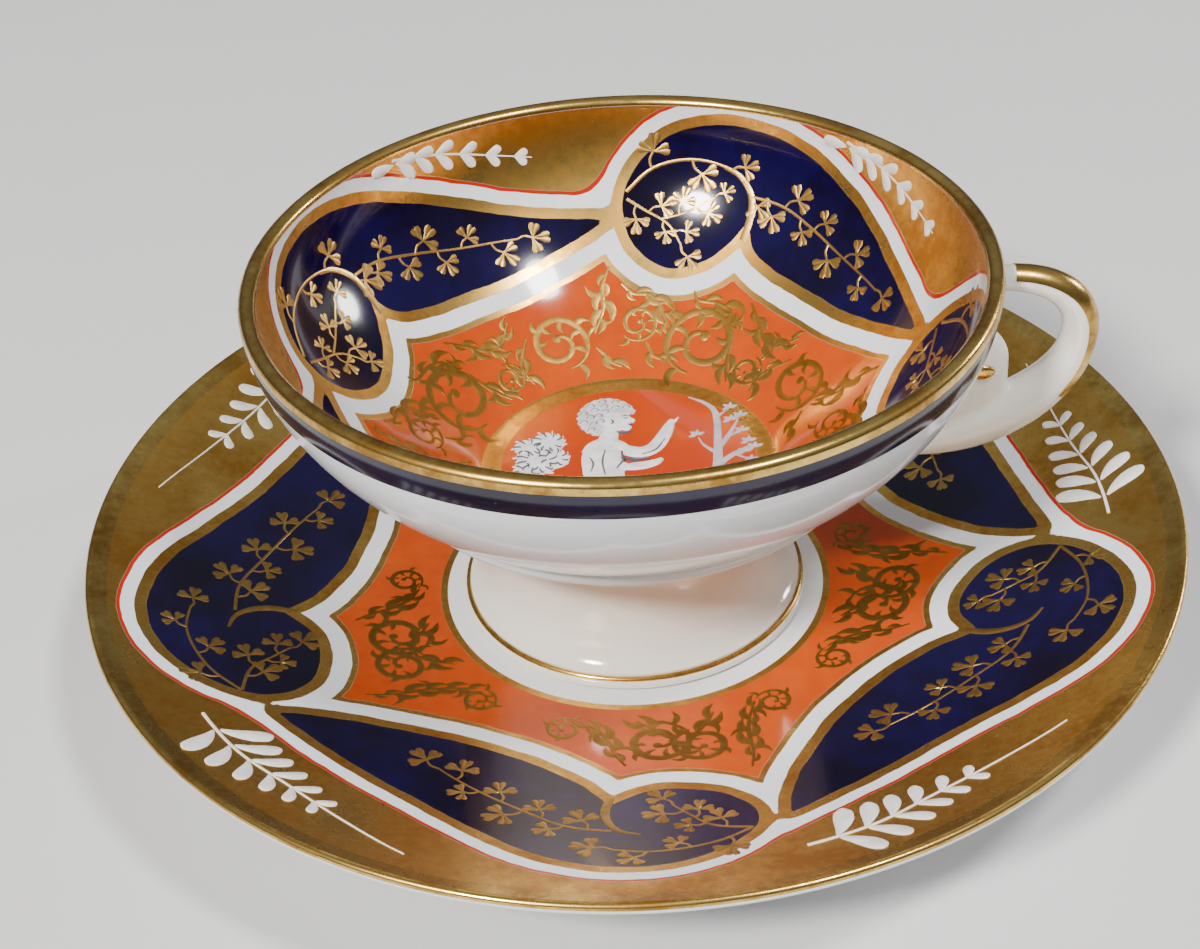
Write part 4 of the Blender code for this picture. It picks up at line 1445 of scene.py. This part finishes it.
    @staticmethod
    def _laid(rows: Sequence[Sequence[float]]) -> Array:
        """Plain rows as chart rows: polar form, unwrapped so that a stroke never jumps a turn."""
        x, y, half = through(rows, 33).T
        return np.stack([np.unwrap(np.arctan2(y, x)), np.hypot(x, y), half], 1)

    def _curls(self, hair: Strokes, grey: Strokes) -> None:
        """Rows of curls over the crown and the back of the head, every other curl with a grey crease."""
        for count, reach, size, first, last in self.curls:
            for k in range(count):
                angle = math.radians(first + (last - first) * k / (count - 1))
                x, y = self.hair[0] + reach * math.cos(angle), self.hair[1] + 1.1 * reach * math.sin(angle)
                curl = [(x - 0.75, y - 0.15, 0.35), (x, y + 0.15, size), (x + 0.75, y - 0.15, 0.35)]
                hair.add(self._laid(curl), 8)
                crease = [(-0.55, -0.3, 0.06), (-0.1, 0.3, 0.14), (0.5, 0.1, 0.13), (0.3, -0.35, 0.06)]
                if k % 2:
                    grey.add(self._laid([(x + right, y + up, half) for right, up, half in crease]), 9)

    def _bush(self, ground: Strokes, grey: Strokes) -> None:
        """A bush of round clumps: each a fat stroke with feathery tufts round it and grey creases over it."""
        for right, up, size in self.clumps:
            x, y = self.bush[0] + right, self.bush[1] + up
            heart = [(x + way * size, y, half * size) for way, half in ((-0.8, 0.3), (0.0, 0.85), (0.8, 0.3))]
            ground.add(self._laid(heart), 14)
            tufts = int(9.0 * size)
            for k in range(tufts):
                angle = 2.0 * math.pi * k / tufts
                reach = 1.2 + 0.14 * math.sin(2.9 * k) + 0.1 * math.sin(angle)
                root, middle, tip = (
                    (x + way * size * math.cos(angle + turn), y + way * size * math.sin(angle + turn))
                    for way, turn in ((0.6, 0.0), (0.95, 0.08), (reach, 0.3))
                )
                ground.add(self._laid([(*root, 0.4), (*middle, 0.33), (*tip, 0.09)]), 7)
                if k % 2:
                    half_way = (0.5 * (middle[0] + tip[0]), 0.5 * (middle[1] + tip[1]))
                    grey.add(self._laid([(*root, 0.05), (*middle, 0.11), (*half_way, 0.05)]), 6)


# Handle --------------------------------------------------------------------------------------------------


@dataclass
class Handle:
    """The cast handle: a loop that swells downwards and an inner spur in one form, with its gilding."""

    cup: Cup
    reach: float = 12.8
    drop: float = 5.4
    turn: float = 12.8
    top_lead: tuple[float, float] = (6.5, 0.6)
    upper_lead: float = 5.2
    lower_lead: float = 9.5
    root_lead: tuple[float, float] = (16.0, -3.3)
    root_inset: float = 5.0
    root_drop: float = 3.3
    shares = (0.0, 0.5, 0.8, 1.0)
    thick = (3.2, 4.4, 6.2, 2.6)
    wide = (3.4, 5.2, 7.8, 8.4)
    spur_reach: float = 2.2
    spur_width: float = 5.6
    spur_top: float = 12.0
    spur_foot: float = 24.6
    spur_round: float = 5.4
    spur_inset: float = 1.2  # of the spur's back into the bowl's wall
    voxel: float = 0.3
    relaxing: int = 14  # rounds of smoothing over the melted skin
    gilt_out: float = 0.07  # faces of the gold skin, off the loop
    gilt_in: float = -0.25
    gilt_spread: float = 74.0  # degrees to each side of the outer line
    eye_drop: float = 17.2
    eye_inset: float = 1.5
    eye: tuple[float, float, float] = (1.55, 0.45, 1.0)  # half length, half thickness, half height

    SIDES = 40
    SPUR_SIDES = 32
    GILT_STATIONS = slice(7, 58)

    def path(self, count: int = 90) -> tuple[Array, Array, Array, Array]:
        """Middle points, outward directions, half thicknesses and half widths along the loop.

        Two cubics meet at the turn; the section's sizes are eased between the four shares by 3t^2 - 2t^3.
        """
        cup = self.cup
        top = np.array([cup.radius - cup.wall / 2, cup.top - self.drop])
        turn = np.array([cup.radius + self.reach - self.thick[1] / 2, cup.top - self.turn])
        root = np.array([cup.shoulder[0] - self.root_inset, cup.base + cup.shoulder[1] - self.root_drop])
        upper = bezier([top, top + self.top_lead, turn + np.array([0.0, self.upper_lead]), turn], count // 2)
        leads = turn - np.array([0.0, self.lower_lead]), root + self.root_lead
        lower = bezier([turn, *leads, root], count - count // 2 + 1)
        middle = np.concatenate([upper, lower[1:]])
        share = np.concatenate([np.linspace(0.0, 0.5, len(upper)), np.linspace(0.5, 1.0, len(lower))[1:]])
        along = np.gradient(middle, axis=0)
        along /= np.linalg.norm(along, axis=1)[:, None]
        outward = np.stack([-along[:, 1], along[:, 0]], 1)
        return middle, outward, self._eased(share, self.thick) / 2, self._eased(share, self.wide) / 2

    def _eased(self, share: Array, values: Sequence[float]) -> Array:
        """Values at shares of the way, levelling out at each given one."""
        span = np.clip(np.searchsorted(self.shares, share, side="right") - 1, 0, len(values) - 2)
        start, end = np.take(self.shares, span), np.take(self.shares, span + 1)
        low, high = np.take(values, span), np.take(values, span + 1)
        t = (share - start) / (end - start)
        return low + (high - low) * t * t * (3 - 2 * t)

    @staticmethod
    def tube(rings: Array) -> Surface:
        """Closes a stack of equal rings, shape (rings, sides, 3), with a fan at each end."""
        count, sides, _ = rings.shape
        index = np.arange(count * sides).reshape(count, sides)
        after = np.roll(index, -1, axis=1)
        quads = np.stack([index[:-1], index[1:], after[1:], after[:-1]], -1).reshape(-1, 4)
        points = np.concatenate([rings.reshape(-1, 3), [rings[0].mean(axis=0), rings[-1].mean(axis=0)]])
        first = np.stack([np.full(sides, count * sides), index[0], after[0]], 1)
        last = np.stack([np.full(sides, count * sides + 1), after[-1], index[-1]], 1)
        return Surface(points, quads, np.concatenate([first, last])).facing_out()

    def loop_point(self, angle: Array, grow: float, stations: slice = slice(None)) -> Array:
        """Rings of the loop's oval section: half sizes plus grow, angle 0 on the outer line."""
        middle, outward, half_thick, half_wide = (part[stations] for part in self.path())
        flat = middle[:, None] + ((half_thick[:, None] + grow) * np.cos(angle))[..., None] * outward[:, None]
        return np.stack([flat[..., 0], (half_wide[:, None] + grow) * np.sin(angle), flat[..., 1]], -1)

    def spur(self) -> Array:
        """Rings of the inner spur, stacked upwards; its front rounds back to the bowl at its top."""
        cup = self.cup
        low, high = cup.top - self.spur_foot, cup.top - self.spur_top
        height = low + (high - low) * np.sin(0.5 * np.pi * np.linspace(0.0, 1.0, 30))
        back = cup.wall_radius(height) - self.spur_inset
        near = np.clip(height - high + self.spur_round, 0.0, None) / self.spur_round
        shrink = np.sqrt(1.0 - 0.97 * near**2.5)
        front = back + (cup.radius + self.spur_reach - back) * (0.35 + 0.65 * shrink)
        angle = circle(self.SPUR_SIDES)
        deep = (front - back)[:, None] / 2
        x = back[:, None] + deep + deep * np.cos(angle)
        y = 0.5 * self.spur_width * (0.15 + 0.85 * shrink)[:, None] * np.sin(angle)
        return np.stack([x, y, np.broadcast_to(height[:, None], x.shape)], -1)

    def build(self) -> dict[str, bpy.types.Object]:
        """The melted body, the back gilding and the two gilt eyes."""
        rough = join([self.tube(self.loop_point(circle(self.SIDES), 0.0)), self.tube(self.spur())])
        body = make_object("handle_cast", rough)
        self._melt(body)
        return {
            "body": body,
            "gilding": make_object("handle_gilded_back", self._gilding()),
            "eyes": make_object("handle_gilt_eyes", self._eyes()),
        }

    def _melt(self, body: bpy.types.Object) -> None:
        """Cuts the roots off inside the bowl's wall, remeshes loop and spur into one skin and relaxes it."""
        cup = self.cup
        wall = offset(cup.outside(), -1.1)
        radius, height, bulge = cup.bead
        bead = arc((radius, cup.base + height), bulge - 0.5, 20.0, -100.0, 8)
        low, high = cup.base + cup.floor_height - 1.5, cup.top + 5.0
        profile = np.concatenate([[[0.0, high], [cup.radius, high]], wall, bead, [[24.0, low], [0.0, low]]])
        cutter = make_object("bowl_heart", turned(profile, 128))
        remesh = body.modifiers.new("skin", "REMESH")
        remesh.mode, remesh.voxel_size, remesh.use_smooth_shade = "VOXEL", self.voxel * MM, True
        relax = body.modifiers.new("relax", "SMOOTH")
        relax.factor, relax.iterations = 0.5, self.relaxing
        clear = body.modifiers.new("clear", "BOOLEAN")
        clear.operation, clear.solver, clear.object = "DIFFERENCE", "EXACT", cutter
        graph = bpy.context.evaluated_depsgraph_get()
        finished = bpy.data.meshes.new_from_object(body.evaluated_get(graph))
        body.modifiers.clear()
        body.data = finished
        finished.name = body.name
        finished.shade_smooth()
        bpy.data.objects.remove(cutter, do_unlink=True)

    def _gilding(self) -> Surface:
        """A thin gold skin over the loop's outer back."""
        spread = np.linspace(-1.0, 1.0, 17) * math.radians(self.gilt_spread)
        upper = self.loop_point(spread, self.gilt_out, self.GILT_STATIONS)
        lower = self.loop_point(spread, self.gilt_in, self.GILT_STATIONS)
        return self.tube(np.concatenate([upper, lower[:, ::-1]], axis=1))

    def _eyes(self) -> Surface:
        """A low gilt oval on each side of the spur."""
        cup = self.cup
        height = cup.top - self.eye_drop
        back = float(cup.wall_radius(height)) - self.spur_inset
        half_deep = (cup.radius + self.spur_reach - back) / 2
        centre = cup.radius - self.eye_inset
        face = 0.5 * self.spur_width * math.sqrt(1.0 - ((centre - back - half_deep) / half_deep) ** 2)
        polar = np.linspace(0.0, np.pi, 13)[1:-1, None]
        angle = circle(self.SPUR_SIDES)
        half_long, half_thick, half_high = self.eye
        parts = []
        for side in (-1.0, 1.0):
            x = centre + half_long * np.sin(polar) * np.cos(angle)
            y = side * (face - 0.1) + half_thick * np.cos(polar) + 0.0 * angle
            z = height + half_high * np.sin(polar) * np.sin(angle)
            parts.append(self.tube(np.stack([x, y, z], -1)))
        return join(parts)


# Stage ---------------------------------------------------------------------------------------------------


@dataclass(frozen=True)
class View:
    """The camera: lens, distance, elevation and the small turns off the saucer's middle."""

    lens: float = 60.83
    distance: float = 273.73
    elevation: float = 39.52
    roll: float = -2.807
    yaw: float = 0.836
    pitch: float = 3.613
    target_height: float = 1.2

    def make(self) -> None:
        """Places the camera: look at the middle, then turn by yaw, pitch and roll about its own axes."""
        rise = math.radians(self.elevation)
        place = Vector((0.0, -self.distance * math.cos(rise), self.distance * math.sin(rise)))
        ahead, right = -place.normalized(), Vector((1.0, 0.0, 0.0))
        up = right.cross(ahead)
        yaw = Matrix.Rotation(math.radians(self.yaw), 3, up)
        ahead, right = yaw @ ahead, yaw @ right
        pitch = Matrix.Rotation(math.radians(self.pitch), 3, right)
        ahead, up = pitch @ ahead, pitch @ up
        roll = math.radians(self.roll)
        side = math.cos(roll) * right + math.sin(roll) * up
        top = -math.sin(roll) * right + math.cos(roll) * up
        data = bpy.data.cameras.new("camera")
        data.lens = self.lens
        data.sensor_width = 36.0
        data.clip_start, data.clip_end = 0.01, 20.0
        camera = bpy.data.objects.new("camera", data)
        turn = Matrix((side, top, -ahead)).transposed().to_4x4()
        raised = place + Vector((0.0, 0.0, self.target_height))
        camera.matrix_world = Matrix.Translation(raised * MM) @ turn
        bpy.context.scene.collection.objects.link(camera)
        bpy.context.scene.camera = camera


@dataclass(frozen=True)
class Softbox:
    """One round area light aimed at the cup."""

    name: str
    place: tuple[float, float, float]  # metres
    size: float  # metres
    power: float  # watts
    colour: Colour = (1.0, 1.0, 1.0)

    AIM = Vector((0.0, 0.0, 0.03))

    def make(self) -> None:
        """Adds the light."""
        data = bpy.data.lights.new(self.name, "AREA")
        data.shape, data.size, data.energy, data.color = "DISK", self.size, self.power, self.colour
        light = bpy.data.objects.new(self.name, data)
        light.location = self.place
        light.rotation_euler = (self.AIM - light.location).to_track_quat("-Z", "Y").to_euler()
        bpy.context.scene.collection.objects.link(light)


@dataclass(frozen=True)
class Studio:
    """Pale floor, a sky that darkens towards the horizon, and softboxes."""

    floor: Colour = (0.66, 0.65, 0.64)
    zenith: Colour = (0.26, 0.27, 0.29)
    horizon: Colour = (0.06, 0.06, 0.07)
    half_floor: float = 3000.0
    fade: tuple[float, float] = (0.05, 0.75)  # heights between which the sky brightens
    lights = (
        Softbox("key", (-0.55, -0.80, 0.95), 0.21, 27.0, (1.0, 0.98, 0.95)),
        Softbox("top", (0.45, -0.35, 1.10), 0.2, 11.0),
        Softbox("side", (1.00, 0.55, 0.40), 0.16, 4.0),
    )

    def make(self) -> None:
        """Builds floor, world and lights."""
        self._floor()
        self._sky()
        for light in self.lights:
            light.make()

    def _floor(self) -> None:
        """A square of pale paper."""
        corners = self.half_floor * np.array([[-1, -1, 0], [1, -1, 0], [1, 1, 0], [-1, 1, 0]], float)
        floor = make_object("floor", Surface(corners, np.array([[0, 1, 2, 3]]), np.zeros((0, 3), int)))
        bench = Bench("floor_paper")
        tone = bench.mix(self.floor, tuple(0.96 * part for part in self.floor), bench.noise(30.0, 3.0))
        floor.data.materials.append(bench.shade(Base_Color=tone, Roughness=0.75))

    def _sky(self) -> None:
        """A grey sky, darker towards the horizon."""
        world = bpy.data.worlds.new("studio")
        bpy.context.scene.world = world
        world.use_nodes = True
        nodes, links = world.node_tree.nodes, world.node_tree.links
        split = nodes.new("ShaderNodeSeparateXYZ")
        links.new(nodes.new("ShaderNodeTexCoord").outputs["Generated"], split.inputs[0])
        ramp = nodes.new("ShaderNodeValToRGB")
        ramp.color_ramp.interpolation = "EASE"
        for stop, colour, position in zip(ramp.color_ramp.elements, (self.horizon, self.zenith), self.fade):
            stop.color, stop.position = (*colour, 1.0), position
        links.new(split.outputs["Z"], ramp.inputs[0])
        links.new(ramp.outputs[0], nodes["Background"].inputs["Color"])


def span(node: str) -> tuple[Vector, Vector]:
    """A frame node's box in millimetres."""
    low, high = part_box(node)
    return low / MM, high / MM


@dataclass(frozen=True)
class Palette:
    """The finishes of the set, each made once."""

    cool: Colour = (0.80, 0.83, 0.87)
    gold = Gilding("burnished_gold")
    ground_gold = Gilding("gold_ground", (0.84, 0.53, 0.135), (0.50, 0.24, 0.042), 0.5, 0.11)
    cream = Glaze("cream_glaze", (0.85, 0.83, 0.77), (0.80, 0.77, 0.69))
    # scroll gold: both browns are darkened as painted shade, standing in for the dark surroundings that the
    # gold reflects; its higher roughness makes it matt
    shaded_scroll_gold = Gilding("matt_gold_painted_shade", (0.42, 0.24, 0.06), (0.22, 0.11, 0.02), 0.5, 0.36)
    spray_gold = Gilding("spray_gold", (0.62, 0.39, 0.11), (0.32, 0.18, 0.05), 0.5, 0.3)
    leaf_enamel = Enamel("white_enamel", (0.86, 0.84, 0.80), (0.70, 0.68, 0.64))
    figure_enamel = Enamel("figure_enamel", (0.84, 0.84, 0.84), (0.56, 0.57, 0.60))
    tree_enamel = Enamel("tree_enamel", (0.52, 0.47, 0.50), (0.34, 0.29, 0.33))
    hair_enamel = Enamel("hair_enamel", (0.64, 0.64, 0.66), (0.36, 0.36, 0.38))
    grey_enamel = Enamel("grey_enamel", (0.12, 0.12, 0.135), (0.06, 0.06, 0.07))
    cobalt = Glaze("cobalt_band", (0.003, 0.002, 0.030), (0.002, 0.001, 0.012))
    saucer_painting = Painting("saucer_painting", (25.0, 25.9), (0.82, 0.84, 0.85))
    bowl_painting = Painting("bowl_painting", (16.4, 18.9), (0.43, 0.034, 0.0))


def main() -> None:
    """Builds every piece in order, then the stage."""
    logging.basicConfig(level=logging.INFO, format="%(name)s %(message)s")
    palette = Palette()
    cream, gilt = palette.cream.material(), palette.gold.material()
    sprays, scrolls = palette.spray_gold.material(), palette.shaded_scroll_gold.material()
    leaves, figure = palette.leaf_enamel.material(), palette.figure_enamel.material()
    motif_looks = {
        "gilt_sprays": (sprays, Slot.GILT),
        "gilt_scrolls": (scrolls, Slot.GILT),
        "enamel_leaves": (leaves, Slot.WHITE),
    }
    picture_looks = {
        "child": figure,
        "hair": palette.hair_enamel.material(),
        "bush": figure,
        "tree": palette.tree_enamel.material(),
        "shading_lines": palette.grey_enamel.material(),
    }

    saucer = Saucer(radius=float(span("saucer_gilt_lip")[1].x))
    parts = saucer.build()
    paint = palette.saucer_painting.material(palette.ground_gold, palette.cool)
    dress(parts["dish"], paint, Body.SAUCER, ["saucer_dish"])
    dress(parts["ring"], cream, Body.SAUCER, ["saucer_foot_ring"])
    dress(parts["lip"], gilt, Body.SAUCER, ["saucer_gilt_lip"])
    for name, surface in saucer.decorate().items():
        finish, slot = motif_looks[name]
        dress(make_object(f"saucer_{name}", surface), finish, Body.SAUCER)

    rim = span("cup_gilt_lip")[1]
    cup = Cup(radius=float(rim.x), base=float(span("cup_foot")[0].z), top=float(rim.z))
    parts = cup.build()
    paint = palette.bowl_painting.material(palette.ground_gold, palette.cool)
    dress(parts["bowl"], paint, Body.CUP, ["cup_bowl"])
    dress(parts["lip"], gilt, Body.CUP, ["cup_gilt_lip"])
    dress(parts["band"], palette.cobalt.material(), Body.CUP, ["cup_cobalt_band"])
    dress(parts["foot"], cream, Body.CUP, ["cup_foot"])
    dress(parts["line"], gilt, Body.CUP, ["cup_foot_gilt_line"])
    for name, surface in cup.decorate().items():
        finish, slot = motif_looks[name]
        dress(make_object(f"cup_{name}", surface), finish, Body.CUP)
    for name, surface in Medallion(cup.chart()).paint().items():
        dress(make_object(f"medallion_{name}", surface), picture_looks[name], Body.CUP)

    handle = Handle(cup).build()
    dress(handle["body"], cream, Body.CUP, ["handle_loop", "handle_kick"])
    dress(handle["gilding"], gilt, Body.CUP, ["handle_back_gilding"])
    dress(handle["eyes"], gilt, Body.CUP, ["handle_eye_front", "handle_eye_back"])

    Studio().make()
    View().make()


if __name__ == "__main__":
    main()
